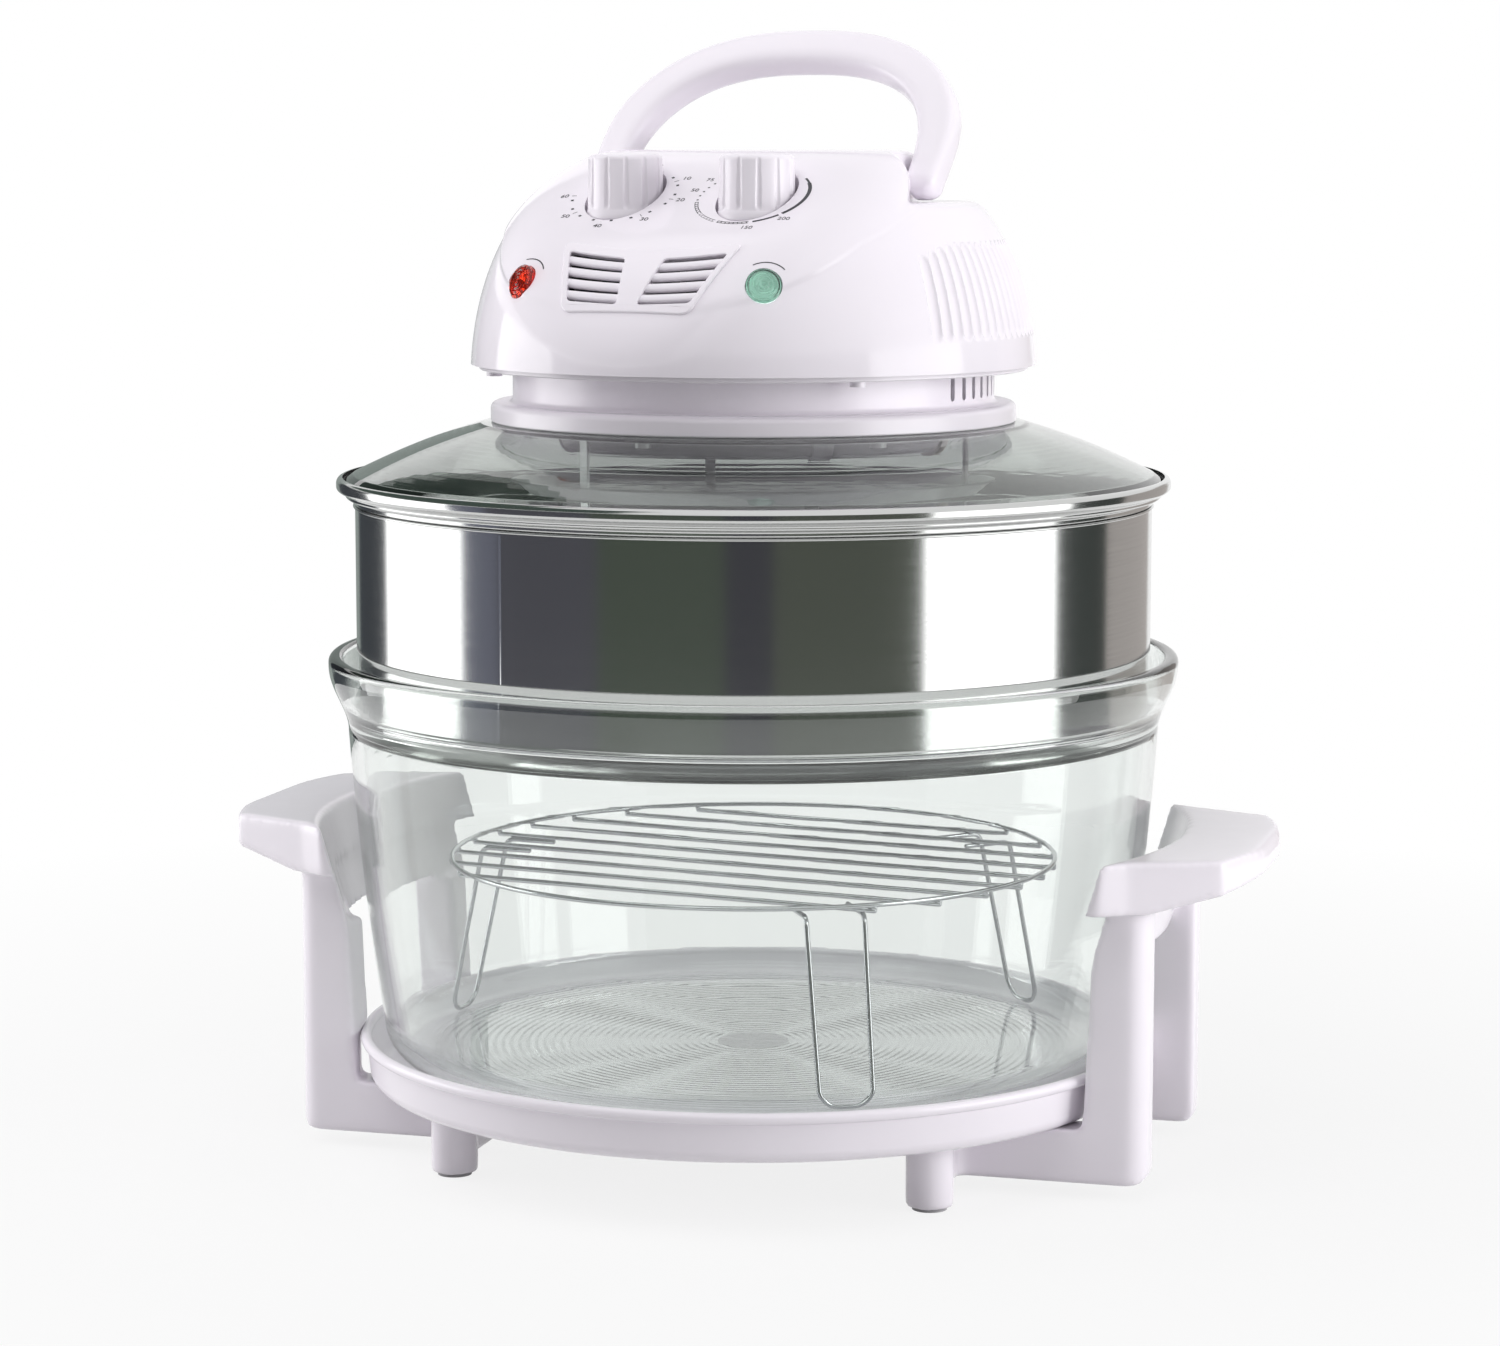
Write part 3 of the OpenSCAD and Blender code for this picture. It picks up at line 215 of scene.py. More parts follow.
class OvenStage(bpy.types.PropertyGroup):
    distance: length("Distance", "Distance of the camera from the oven's axis", 1555.7)
    azimuth: angle("Azimuth", "Turn of the camera round the oven from its front", 16)
    side_step: length("Side step", "Shift of the camera to its left", 1.355)
    height: length("Height", "Height of the camera above the floor", 387.6)
    pitch: angle("Pitch", "Angle of the camera from straight down", 82.57)
    lens: bpy.props.FloatProperty(name="Lens", description="Focal length of the camera", default=96.43,
                                  unit='CAMERA')
    sky: bpy.props.FloatProperty(name="Ambient", description="Strength of the even light from all sides",
                                 default=0.31)
    key: bpy.props.FloatProperty(name="Key lamp", description="Power of the overhead lamp", default=13.5,
                                 unit='POWER')
    side: bpy.props.FloatProperty(name="Softboxes", description="Power of the lamp on each side",
                                  default=11.0, unit='POWER')


GROUPS = {"oven_stand": OvenStand, "oven_bowl": OvenBowl, "oven_steel": OvenSteel, "oven_rack": OvenRack,
          "oven_lid": OvenLid, "oven_housing": OvenHousing, "oven_controls": OvenControls,
          "oven_handle": OvenHandle, "oven_finish": OvenFinish, "oven_stage": OvenStage}


# Outlines and meshes, in millimetres

def arc(x, y, r, start, end, steps=12):
    """Points of an arc between two angles in degrees."""
    return [(x + r * math.cos(math.radians(a)), y + r * math.sin(math.radians(a)))
            for a in np.linspace(start, end, steps + 1)]


def softened(outline, cut, steps=4):
    """A closed outline with its corners rounded, each over at most the length cut."""
    points = np.array(outline, float)
    result = []
    for before, here, after in zip(np.roll(points, 1, 0), points, np.roll(points, -1, 0)):
        back, ahead = before - here, after - here
        start = here + back * min(cut / np.linalg.norm(back), 0.45)
        end = here + ahead * min(cut / np.linalg.norm(ahead), 0.45)
        for t in np.linspace(0, 1, steps + 1):
            result.append(tuple((1 - t) ** 2 * start + 2 * t * (1 - t) * here + t ** 2 * end))
    return result


def filleted(path, radii, steps=10):
    """An open path in space whose inner corners are arcs of the given radii."""
    path = [np.array(p, float) for p in path]
    result = [path[0]]
    for before, here, after, r in zip(path, path[1:], path[2:], radii):
        u = (before - here) / np.linalg.norm(before - here)
        v = (after - here) / np.linalg.norm(after - here)
        half = math.acos(u @ v) / 2
        middle = here + (u + v) / np.linalg.norm(u + v) * r / math.sin(half)
        a, b = here + u * r / math.tan(half) - middle, here + v * r / math.tan(half) - middle
        turn = math.pi - 2 * half
        for t in np.linspace(0, 1, steps + 1):
            result.append(middle + (a * math.sin(turn * (1 - t)) + b * math.sin(turn * t)) / math.sin(turn))
    return result + [path[-1]]


def held(outline, edge=0.35):
    """A closed outline with a point close to both ends of each long straight stretch, so that
    smooth shading rounds the corners alone and leaves the walls between them flat."""
    result = []
    for a, b in zip(outline, outline[1:] + outline[:1]):
        result.append(a)
        long = math.dist(a, b)
        if long > 8 * edge:
            for share in (edge / long, 1 - edge / long):
                result.append((a[0] + (b[0] - a[0]) * share, a[1] + (b[1] - a[1]) * share))
    return result


def circle(x, y, r, sides):
    """Points of a whole circle."""
    return arc(x, y, r, 0, 360 - 360 / sides, sides - 1)


def power(value, exponent):
    """A number raised to a power, with its sign kept."""
    return math.copysign(abs(value) ** exponent, value)


def squarish(half_w, half_h, exponent, sides):
    """A closed outline between an ellipse and a box; the lower the exponent, the squarer."""
    return [(half_w * power(math.cos(a), exponent), half_h * power(math.sin(a), exponent))
            for a in np.linspace(0, 2 * np.pi, sides, endpoint=False)]


def tube(rows, size, ends=True):
    """Faces of a tube whose points lie in rows of one size, each row closed round."""
    faces = [list(range(size)), list(range((rows - 1) * size, rows * size))] if ends else []
    for row in range(0, (rows - 1) * size, size):
        for i in range(size):
            j = (i + 1) % size
            faces.append((row + i, row + j, row + size + j, row + size + i))
    return faces


def lathe(outline, steps=256, turns=None):
    """Points and faces of a closed half section turned about the Z axis."""
    turns = np.linspace(0, 2 * np.pi, steps, endpoint=False) if turns is None else np.array(turns)
    points, rows = [], []
    for r, z in held(outline):
        if r < 1e-6:
            rows.append([len(points)] * len(turns))
            points.append((0, 0, z))
        else:
            rows.append(range(len(points), len(points) + len(turns)))
            points.extend(zip(r * np.cos(turns), r * np.sin(turns), [z] * len(turns)))
    faces = []
    for a, b in zip(rows, rows[1:] + rows[:1]):
        for i in range(len(turns)):
            j = (i + 1) % len(turns)
            corners = list(dict.fromkeys((a[i], a[j], b[j], b[i])))
            if len(corners) > 2:
                faces.append(corners)
    return points, faces


def sweep(path, section, side, scales=None):
    """Points and faces of a bar with closed ends that follows a path with one cross section."""
    path, section, side = (np.array(given, float) for given in (path, section, side))
    scales = np.ones(len(path)) if scales is None else scales
    points = []
    for place, forward, scale in zip(path, np.gradient(path, axis=0), scales):
        forward = forward / np.linalg.norm(forward)
        side = side - (side @ forward) * forward
        side = side / np.linalg.norm(side)
        across = np.cross(forward, side)
        points.extend(place + scale * (a * side + b * across) for a, b in section)
    return points, tube(len(path), len(section))


def wire(path, r, side, sides=14):
    """A round wire along a path, with ends that are rounded off."""
    path = np.array(path, float)
    first = (path[0] - path[1]) / np.linalg.norm(path[0] - path[1])
    last = (path[-1] - path[-2]) / np.linalg.norm(path[-1] - path[-2])
    round_off = np.radians([85, 60, 30])
    scales = np.concatenate([np.cos(round_off), np.ones(len(path)), np.cos(round_off[::-1])])
    path = np.concatenate([[path[0] + first * r * math.sin(a) for a in round_off], path,
                           [path[-1] + last * r * math.sin(a) for a in round_off[::-1]]])
    return sweep(path, circle(0, 0, r, sides), side, scales)


def prism(outline, bottom, top):
    """Points and faces of a flat outline drawn out along Z."""
    return [(x, y, z) for z in (bottom, top) for x, y in outline], tube(2, len(outline))


def drum(x, y, r, bottom, top, sides=96):
    """Points and faces of an upright cylinder."""
    return prism(circle(x, y, r, sides), bottom, top)


def placed(shell, matrix):
    """Points and faces moved by a matrix."""
    points, faces = shell
    return [tuple(matrix @ Vector(p)) for p in points], faces


def joined(shells):
    """Points and faces of several shells as one."""
    points, faces = [], []
    for more_points, more_faces in shells:
        start = len(points)
        points.extend(more_points)
        faces.extend([start + i for i in face] for face in more_faces)
    return points, faces


def new_mesh(name, shape):
    """A mesh in metres from points and faces in millimetres, with its faces turned outwards.
    A shape that is a mesh already is given back as it is."""
    if isinstance(shape, bpy.types.Mesh):
        return shape
    points, faces = shape
    mesh = bpy.data.meshes.new(name)
    mesh.from_pydata(np.array(points) * MM, [], faces)
    work = bmesh.new()
    work.from_mesh(mesh)
    bmesh.ops.recalc_face_normals(work, faces=work.faces)
    work.to_mesh(mesh)
    work.free()
    return mesh


def linked(name, data):
    """A new object in the scene that holds a mesh, a curve, a lamp or a camera."""
    holder = bpy.data.objects.new(name, data)
    bpy.context.scene.collection.objects.link(holder)
    return holder


def add_piece(name, shape, material, body, replaced=(), crease=35):
    """Put a mesh, or points and faces, in the scene as a finished piece on its body."""
    mesh = new_mesh(name, shape)
    mesh.materials.clear()
    mesh.materials.append(material)
    mesh.shade_smooth()
    mesh.set_sharp_from_angle(angle=math.radians(crease))
    piece = linked(name, mesh)
    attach(piece, body)
    if replaced:
        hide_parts(*replaced)
    return piece


def evaluated(data, *modifiers):
    """A mesh or curve as a mesh with modifiers applied; each is a type and its settings."""
    holder = linked("holder", data)
    for kind, settings in modifiers:
        modifier = holder.modifiers.new(kind.lower(), kind)
        for key, value in settings.items():
            setattr(modifier, key, value)
    graph = bpy.context.evaluated_depsgraph_get()
    result = bpy.data.meshes.new_from_object(holder.evaluated_get(graph))
    bpy.data.objects.remove(holder)
    return result


def carved(mesh, shape, operation='DIFFERENCE'):
    """The mesh with a shape cut out of it, added to it or kept in common."""
    tool = linked("tool", new_mesh("tool", shape))
    result = evaluated(mesh, ('BOOLEAN', dict(operation=operation, object=tool, solver='MANIFOLD')))
    bpy.data.objects.remove(tool)
    if not result.polygons:
        raise RuntimeError("nothing is left of " + mesh.name)
    return result


def dress(material, *nodes):
    """Give CAD nodes their finish."""
    for node in nodes:
        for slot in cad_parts[node].material_slots:
            slot.material = material


# Materials

def add_node(tree, kind, inputs=None, **settings):
    """Add a shader node with its settings; an input is a value or another node's output."""
    node = tree.nodes.new(kind)
    for key, value in settings.items():
        setattr(node, key, value)
    for key, value in (inputs or {}).items():
        if isinstance(value, bpy.types.NodeSocket):
            tree.links.new(value, node.inputs[key])
        else:
            node.inputs[key].default_value = value
    return node


def bare_tree(owner):
    """The emptied node tree of a material or a world."""
    owner.use_nodes = True
    owner.node_tree.nodes.clear()
    return owner.node_tree


def start_material(name, base, roughness, **sockets):
    """A material with an even Principled shader."""
    material = bpy.data.materials.new(name)
    tree = bare_tree(material)
    shader = add_node(tree, 'ShaderNodeBsdfPrincipled', {"Base Color": (*base, 1), "Roughness": roughness,
                                                         **sockets}, name="Finish")
    add_node(tree, 'ShaderNodeOutputMaterial', {"Surface": shader.outputs["BSDF"]})
    return material


def varied(material, tone=None, gloss=None, relief=None, detail=2.0):
    """The material with its tone, gloss and relief varied by patterns, each of them the size of
    soft speckles in millimetres or a node's output. After its pattern, the tone has the share by
    which it darkens, the gloss two roughnesses, and the relief a depth in millimetres and a
    strength. The detail is the speckles' own."""
    tree = material.node_tree
    shader = tree.nodes["Finish"].inputs

    def pattern(given):
        if isinstance(given, bpy.types.NodeSocket):
            return given
        spot = add_node(tree, 'ShaderNodeTexCoord').outputs["Object"]
        return add_node(tree, 'ShaderNodeTexNoise', {"Vector": spot, "Scale": 1 / (given * MM),
                                                     "Detail": detail}).outputs["Fac"]

    if tone:
        base = shader["Base Color"].default_value[:3]
        dark = [c * (1 - tone[1]) for c in base]
        mix = add_node(tree, 'ShaderNodeMix', {"Factor": pattern(tone[0]), "A": (*base, 1), "B": (*dark, 1)},
                       data_type='RGBA')
        tree.links.new(mix.outputs["Result"], shader["Base Color"])
    if gloss:
        inputs = {"Value": pattern(gloss[0]), "To Min": gloss[1], "To Max": gloss[2]}
        tree.links.new(add_node(tree, 'ShaderNodeMapRange', inputs).outputs["Result"], shader["Roughness"])
    if relief:
        inputs = {"Height": pattern(relief[0]), "Distance": relief[1] * MM, "Strength": relief[2]}
        tree.links.new(add_node(tree, 'ShaderNodeBump', inputs).outputs["Normal"], shader["Normal"])
    return material


def let_light_through(material, tint):
    """Let the lamps' light pass straight through a clear piece, so that it throws a faint shadow."""
    tree = material.node_tree
    rays = add_node(tree, 'ShaderNodeLightPath').outputs
    soft = add_node(tree, 'ShaderNodeMath', {0: rays["Is Shadow Ray"], 1: rays["Is Diffuse Ray"]},
                    operation='MAXIMUM')
    clear = add_node(tree, 'ShaderNodeBsdfTransparent', {"Color": (*tint, 1)})
    mix = add_node(tree, 'ShaderNodeMixShader', {0: soft.outputs[0], 1: tree.nodes["Finish"].outputs[0],
                                                 2: clear.outputs[0]})
    tree.links.new(mix.outputs[0], tree.nodes["Material Output"].inputs["Surface"])


def round_and_up(tree, round_mm, up_mm):
    """Coordinates that run round the oven's axis and up it, stretched to the given sizes."""
    spot = add_node(tree, 'ShaderNodeTexCoord').outputs["Object"]
    axes = add_node(tree, 'ShaderNodeSeparateXYZ', {"Vector": spot}).outputs
    turn = add_node(tree, 'ShaderNodeMath', {0: axes["Y"], 1: axes["X"]}, operation='ARCTAN2')
    stretch = reach("steel_ring") / round_mm
    around = add_node(tree, 'ShaderNodeMath', {0: turn.outputs[0], 1: stretch}, operation='MULTIPLY')
    up = add_node(tree, 'ShaderNodeMath', {0: axes["Z"], 1: 1 / (up_mm * MM)}, operation='MULTIPLY')
    return add_node(tree, 'ShaderNodeCombineXYZ', {"X": around.outputs[0], "Y": up.outputs[0]}).outputs[0]


# Injection-moulded ABS from a polished tool: an even white with a sharp gloss, which
# breaks up very slightly into orange peel, and clouds of tone too faint to name
def moulded_abs(name, base, roughness=0.2):
    return varied(start_material(name, base, roughness, IOR=1.53), tone=(45, 0.02),
                  gloss=(9, roughness - 0.01, roughness + 0.02), relief=(2.6, 0.004, 0.3))


# Toughened soda-lime glass: lightly greyed when looked through, grey-green where it is thick
def toughened_glass(name, base, tint, density):
    material = start_material(name, base, 0.0, **{"IOR": 1.52, "Transmission Weight": 1.0})
    let_light_through(material, (0.97, 0.98, 0.97))
    tree = material.node_tree
    absorb = add_node(tree, 'ShaderNodeVolumeAbsorption', {"Color": (*tint, 1), "Density": density})
    tree.links.new(absorb.outputs[0], tree.nodes["Material Output"].inputs["Volume"])
    return varied(material, relief=(30, 0.05, 0.25))


# Spun stainless sheet, polished to a mirror: the studio stands in it as upright bands,
# crossed by fine lines that the polishing left round the ring
def polished_stainless():
    material = start_material("Polished stainless steel", linear("D2D3D2"), 0.08, Metallic=1.0)
    tree = material.node_tree
    # real polishing lines are finer than a pixel; these are 0.8 mm apart so that they show
    lines = add_node(tree, 'ShaderNodeTexNoise', {"Vector": round_and_up(tree, 60, 0.8), "Scale": 1.0,
                                                  "Detail": 3.0}).outputs["Fac"]
    return varied(material, tone=(lines, 0.12), gloss=(lines, 0.09, 0.18), relief=(lines, 0.004, 0.4))


# Bright chrome on drawn wire: mirror-like, a touch uneven from the plating
def chromed_wire():
    return varied(start_material("Chromed wire", linear("C9CBCD"), 0.12, Metallic=1.0),
                  gloss=(3, 0.08, 0.2), relief=(1.5, 0.01, 0.3))


# Moulded silicone rubber: dull, with a faint bloom
def silicone_rubber(name, base):
    return varied(start_material(name, base, 0.6, IOR=1.41), tone=(5, 0.3), relief=(0.8, 0.02, 0.4))


# Zinc-plated steel: pale grey metal with a cloudy, crystalline sheen
def zinc_plate(name, base, roughness):
    material = start_material(name, base, roughness, Metallic=1.0)
    tree = material.node_tree
    spot = add_node(tree, 'ShaderNodeTexCoord').outputs["Object"]
    cells = add_node(tree, 'ShaderNodeTexVoronoi', {"Vector": spot, "Scale": 1 / (4 * MM)})
    return varied(material, tone=(cells.outputs["Distance"], 0.15),
                  gloss=(6, roughness - 0.06, roughness + 0.1))


# Rolled aluminium sheet: soft grey metal with rolling lines along X
def sheet_aluminium():
    material = start_material("Rolled aluminium sheet", linear("B9BABC"), 0.32, Metallic=1.0)
    tree = material.node_tree
    spot = add_node(tree, 'ShaderNodeTexCoord').outputs["Object"]
    # real rolling lines are finer than a pixel; these are 30 mm long and 0.8 mm apart
    grain = add_node(tree, 'ShaderNodeMapping', {"Vector": spot, "Scale": (1 / (30 * MM), 1 / (0.8 * MM), 1)})
    lines = add_node(tree, 'ShaderNodeTexNoise', {"Vector": grain.outputs[0], "Scale": 1.0}).outputs["Fac"]
    return varied(material, tone=(lines, 0.2), gloss=(lines, 0.25, 0.42), relief=(lines, 0.01, 0.3))


# Drawn fused quartz: a grey, slightly milky tube that the coil shows through
def fused_quartz():
    return varied(start_material("Fused quartz tube", linear("C4C6C8"), 0.12,
                                 **{"IOR": 1.46, "Transmission Weight": 0.65}), gloss=(7, 0.08, 0.25))


# Coiled heating wire, oxidised brown-grey by use
def heating_wire():
    return varied(start_material("Oxidised heating wire", linear("6B625C"), 0.4, Metallic=1.0), tone=(4, 0.4))


# Pressed steatite: unglazed, chalky cream with a fine grain
def steatite():
    return varied(start_material("Unglazed steatite", linear("E4DECF"), 0.75, IOR=1.55),
                  tone=(1.2, 0.12), relief=(0.7, 0.05, 0.5), detail=4)


# Tinted acrylic of a lamp's lens: a clear, wet colour that lightens at its rings
def tinted_acrylic(name, base):
    material = start_material(name, base, 0.05, **{"IOR": 1.49, "Transmission Weight": 0.95})
    let_light_through(material, [c + (1 - c) * 0.6 for c in base])
    return varied(material, tone=(2.2, 0.15))


# Metallised plastic behind a lamp's lens, in a paler shade of the lens's own colour
def lamp_reflector(name, base):
    return varied(start_material(name, [c ** 0.5 for c in base], 0.2, Metallic=0.6), tone=(1.4, 0.35))


# Screen-printed ink: flat dark grey, thin enough to break up at its edges
def printed_ink(base):
    return varied(start_material("Screen-printed ink", base, 0.5), tone=(0.6, 0.35))


# Moulded PBT of switches and fans: black and satin
def moulded_pbt():
    return varied(start_material("Moulded PBT", linear("26262A"), 0.45, IOR=1.55),
                  tone=(8, 0.25), relief=(0.9, 0.02, 0.3))


# Stacked motor steel: dark grey, with the edges of its sheets 0.5 mm apart
def lamination_steel():
    material = start_material("Laminated motor steel", linear("76777A"), 0.38, Metallic=1.0)
    tree = material.node_tree
    spot = add_node(tree, 'ShaderNodeTexCoord').outputs["Object"]
    # at a scale of one, this texture's bands lie 0.314 m apart
    sheets = add_node(tree, 'ShaderNodeTexWave', {"Vector": spot, "Scale": 0.314 / (0.5 * MM),
                                                  "Distortion": 0.4}, bands_direction='Z')
    return varied(material, tone=(sheets.outputs["Fac"], 0.4))


# Stand

class OVEN_OT_stand(bpy.types.Operator):
    """Model the tray and the two side handles, and finish the pads and screws under them"""
    bl_idname = "oven.stand"
    bl_label = "Stand"

    def execute(self, context):
        sizes = context.scene.oven_stand
        white = moulded_abs("Moulded white ABS", context.scene.oven_finish.white)
        add_piece("tray_dish", self.tray(sizes), white, "base", ["tray"])
        for side in ("left", "right"):
            node = "side_handle_" + side
            mesh = self.side_handle(node, sizes.softness)
            add_piece(side + "_grip", mesh, white, "base", [node], crease=70)
        dress(silicone_rubber("Pale rubber", linear("B5B3B6")), "foot_pads")
        dress(zinc_plate("Zinc-plated screw", linear("C2C3C4"), 0.3), "stand_screws")
        return {'FINISHED'}

    def tray(self, sizes):
        """A dish with a raised seat, a sloping side and a rolled rim, on four pegs."""
        rim_r, rim_top = reach("tray"), high("tray")
        roll, wall = sizes.rim_roll / MM, sizes.tray_wall / MM
        seat_r = rim_r - sizes.seat_inset / MM
        foot = low("glass_bowl") - sizes.seat_h / MM
        seat = low("glass_bowl")
        side_r = rim_r - 2.4
        bend, lean = 6, 12
        outline = [(0, seat - wall), (seat_r - wall, seat - wall), (seat_r, foot)]
        outline += arc(side_r - bend - 1, foot + bend, bend, -90, -lean)
        outline += [(side_r, rim_top - 2 * roll)]
        outline += arc(rim_r - roll, rim_top - roll, roll, -75, 200, 20)
        outline += arc(side_r - wall - bend - 2, foot + wall + bend, bend, -lean, -90)
        outline += [(seat_r + wall, foot + wall), (seat_r, seat), (0, seat)]
        peg_x, peg_y = self.peg_place()
        peg_r, peg_h = 4, 12
        pegs = [drum(sx * peg_x, sy * peg_y, peg_r, foot - peg_h, foot + 1, 32)
                for sx in (-1, 1) for sy in (-1, 1)]
        mesh = new_mesh("tray_dish", lathe(outline))
        return carved(mesh, joined(pegs), 'UNION')

    def peg_place(self):
        """Distances of the foot columns from the centre, along X and Y."""
        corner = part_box("foot_pads")[1] / MM
        pad_r = 6.5
        return corner.x - pad_r, corner.y - pad_r

    def side_handle(self, node, softness):
        """The CAD handle with every edge rounded, as it comes out of its mould."""
        return evaluated(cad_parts[node].data.copy(),
                         ('REMESH', dict(mode='VOXEL', voxel_size=softness)),
                         ('SMOOTH', dict(factor=0.5, iterations=14)))


# Bowl

class OVEN_OT_bowl(bpy.types.Operator):
    """Model the glass bowl with its flared rim, inner ledge and rippled floor"""
    bl_idname = "oven.bowl"
    bl_label = "Glass bowl"

    def execute(self, context):
        sizes = context.scene.oven_bowl
        finish = context.scene.oven_finish
        glass = toughened_glass("Toughened bowl glass", finish.bowl_clear, finish.glass_tint, 10)
        add_piece("bowl_glass", lathe(self.outline(sizes), 288), glass, "bowl", ["glass_bowl"], crease=50)
        return {'FINISHED'}

    def outline(self, sizes):
        """The bowl's half section: up its outside from the floor, over the rim and down inside."""
        rim_r = reach("glass_bowl")
        base, top = low("glass_bowl"), high("glass_bowl")
        full = top - base
        wall, bend = sizes.wall / MM, sizes.bend / MM
        flare_h, flare_w = sizes.flare_h / MM, sizes.flare_w / MM
        foot_r = rim_r - sizes.taper / MM
        flat_r = foot_r - bend
        ledge = full - sizes.ledge / MM
        belly, rim_h, rim_bead, inner_bead = 5.2, 4, 2.5, 1.5

        def wall_r(h):
            t = (h - bend) / (full - flare_h - bend)
            return foot_r + (rim_r - flare_w - foot_r) * t + belly * t * (1 - t)

        def flare_r(h):
            t = min(1, (h - full + flare_h) / (flare_h - rim_h))
            return rim_r - flare_w * (1 + math.cos(math.pi * t)) / 2

        ripple_start, ripple_depth = 14, 0.025
        radii = np.linspace(ripple_start, flat_r - 3, sizes.ripples * 8 + 1)
        wave = [(r, ripple_depth * (1 - math.cos(2 * math.pi * sizes.ripples * i / (len(radii) - 1))))
                for i, r in enumerate(radii)]
        wall_rows = np.linspace(bend, full - flare_h, 26)[1:]
        flare_rows = np.linspace(full - flare_h, full - rim_h, 22)[1:]
        inner_rows = [h for h in flare_rows if h > ledge + 1.5]
        points = [(0, 0)] + wave + arc(flat_r, bend, bend, -90, 0)
        points += [(wall_r(h), h) for h in wall_rows] + [(flare_r(h), h) for h in flare_rows]
        points += arc(rim_r - rim_bead, full - rim_bead, rim_bead, 0, 90, 8)
        points += arc(rim_r - wall + 1.1, full - inner_bead, inner_bead, 90, 180, 6)
        points += [(flare_r(h) - wall - 0.4, h) for h in reversed(inner_rows)]
        ledge_in = ring_wall_r() - wall
        points += [(flare_r(ledge + 1) - wall - 0.2, ledge + 0.5), (flare_r(ledge) - wall - 1.2, ledge)]
        points += [(ledge_in + 1.5, ledge), (ledge_in + 0.4, ledge - 0.8)]
        points += [(wall_r(h) - wall, h) for h in reversed(wall_rows) if h < ledge - 2]
        points += arc(flat_r, bend, bend - wall, 0, -90) + [(0, wall)]
        return [(r, base + z) for r, z in points]


# Rack

class OVEN_OT_rack(bpy.types.Operator):
    """Model the round wire rack with its straight wires, U-shaped legs and weld beads"""
    bl_idname = "oven.rack"
    bl_label = "Wire rack"

    def execute(self, context):
        sizes = context.scene.oven_rack
        chrome = chromed_wire()
        r = sizes.wire / MM
        ring_r = reach("rack_ring") - r
        ring_z = high("rack_ring") - r
        rod_z = (low("rack_wires") + high("rack_wires")) / 2
        turned = Matrix.Rotation(sizes.turn, 4, 'Z')
        add_piece("rack_hoop", lathe(circle(ring_r, ring_z, r, 16), 240), chrome, "rack", ["rack_ring"])
        rods, beads = self.rods(sizes, ring_r, rod_z)
        legs = [self.leg(sizes, rod_z, turn) for turn in (-50, 55, 182)]
        add_piece("rack_rods", placed(joined(rods), turned), chrome, "rack", ["rack_wires"])
        add_piece("rack_feet", placed(joined(legs), turned), chrome, "rack", ["rack_legs"])
        add_piece("rack_welds", placed(joined(beads), turned), chrome, "rack")
        return {'FINISHED'}

    def rods(self, sizes, ring_r, rod_z):
        """The straight wires, and a weld bead at each end of each."""
        r, pitch, bead_r, margin = sizes.wire / MM, sizes.pitch / MM, 1.1, 12
        rows = int((ring_r - margin) // pitch)
        bead = lathe([(0, -bead_r)] + arc(0, 0, bead_r, -72, 72, 6) + [(0, bead_r)], 12)
        rods, beads = [], []
        for i in range(-rows, rows + 1):
            y = i * pitch + sizes.shift / MM
            half = math.sqrt(ring_r ** 2 - y ** 2)
            rods.append(wire([(-half, y, rod_z), (0, y, rod_z), (half, y, rod_z)], r, (0, 1, 0)))
            beads += [placed(bead, Matrix.Translation((x, y, rod_z + r))) for x in (-half, half)]
        return rods, beads

    def leg(self, sizes, rod_z, turn):
        """A wire bent to a U, with its ends turned in under the rods."""
        r, half = sizes.wire / MM, sizes.leg_w / MM / 2
        top_r, foot_r, foot_in, stub, weld, bend = 114, 130, half - 1, 21, 0.15, 4
        stub_z = rod_z - 2 * r + weld
        foot_z = low("rack_legs") + r
        path = [(top_r - stub, half, stub_z), (top_r, half, stub_z), (foot_r, foot_in, foot_z),
                (foot_r, -foot_in, foot_z), (top_r, -half, stub_z), (top_r - stub, -half, stub_z)]
        bent = filleted(path, [bend, foot_in - 2, foot_in - 2, bend])
        return placed(wire(bent, r, (0, 1, 0)), Matrix.Rotation(math.radians(turn), 4, 'Z'))


# Steel ring and lid

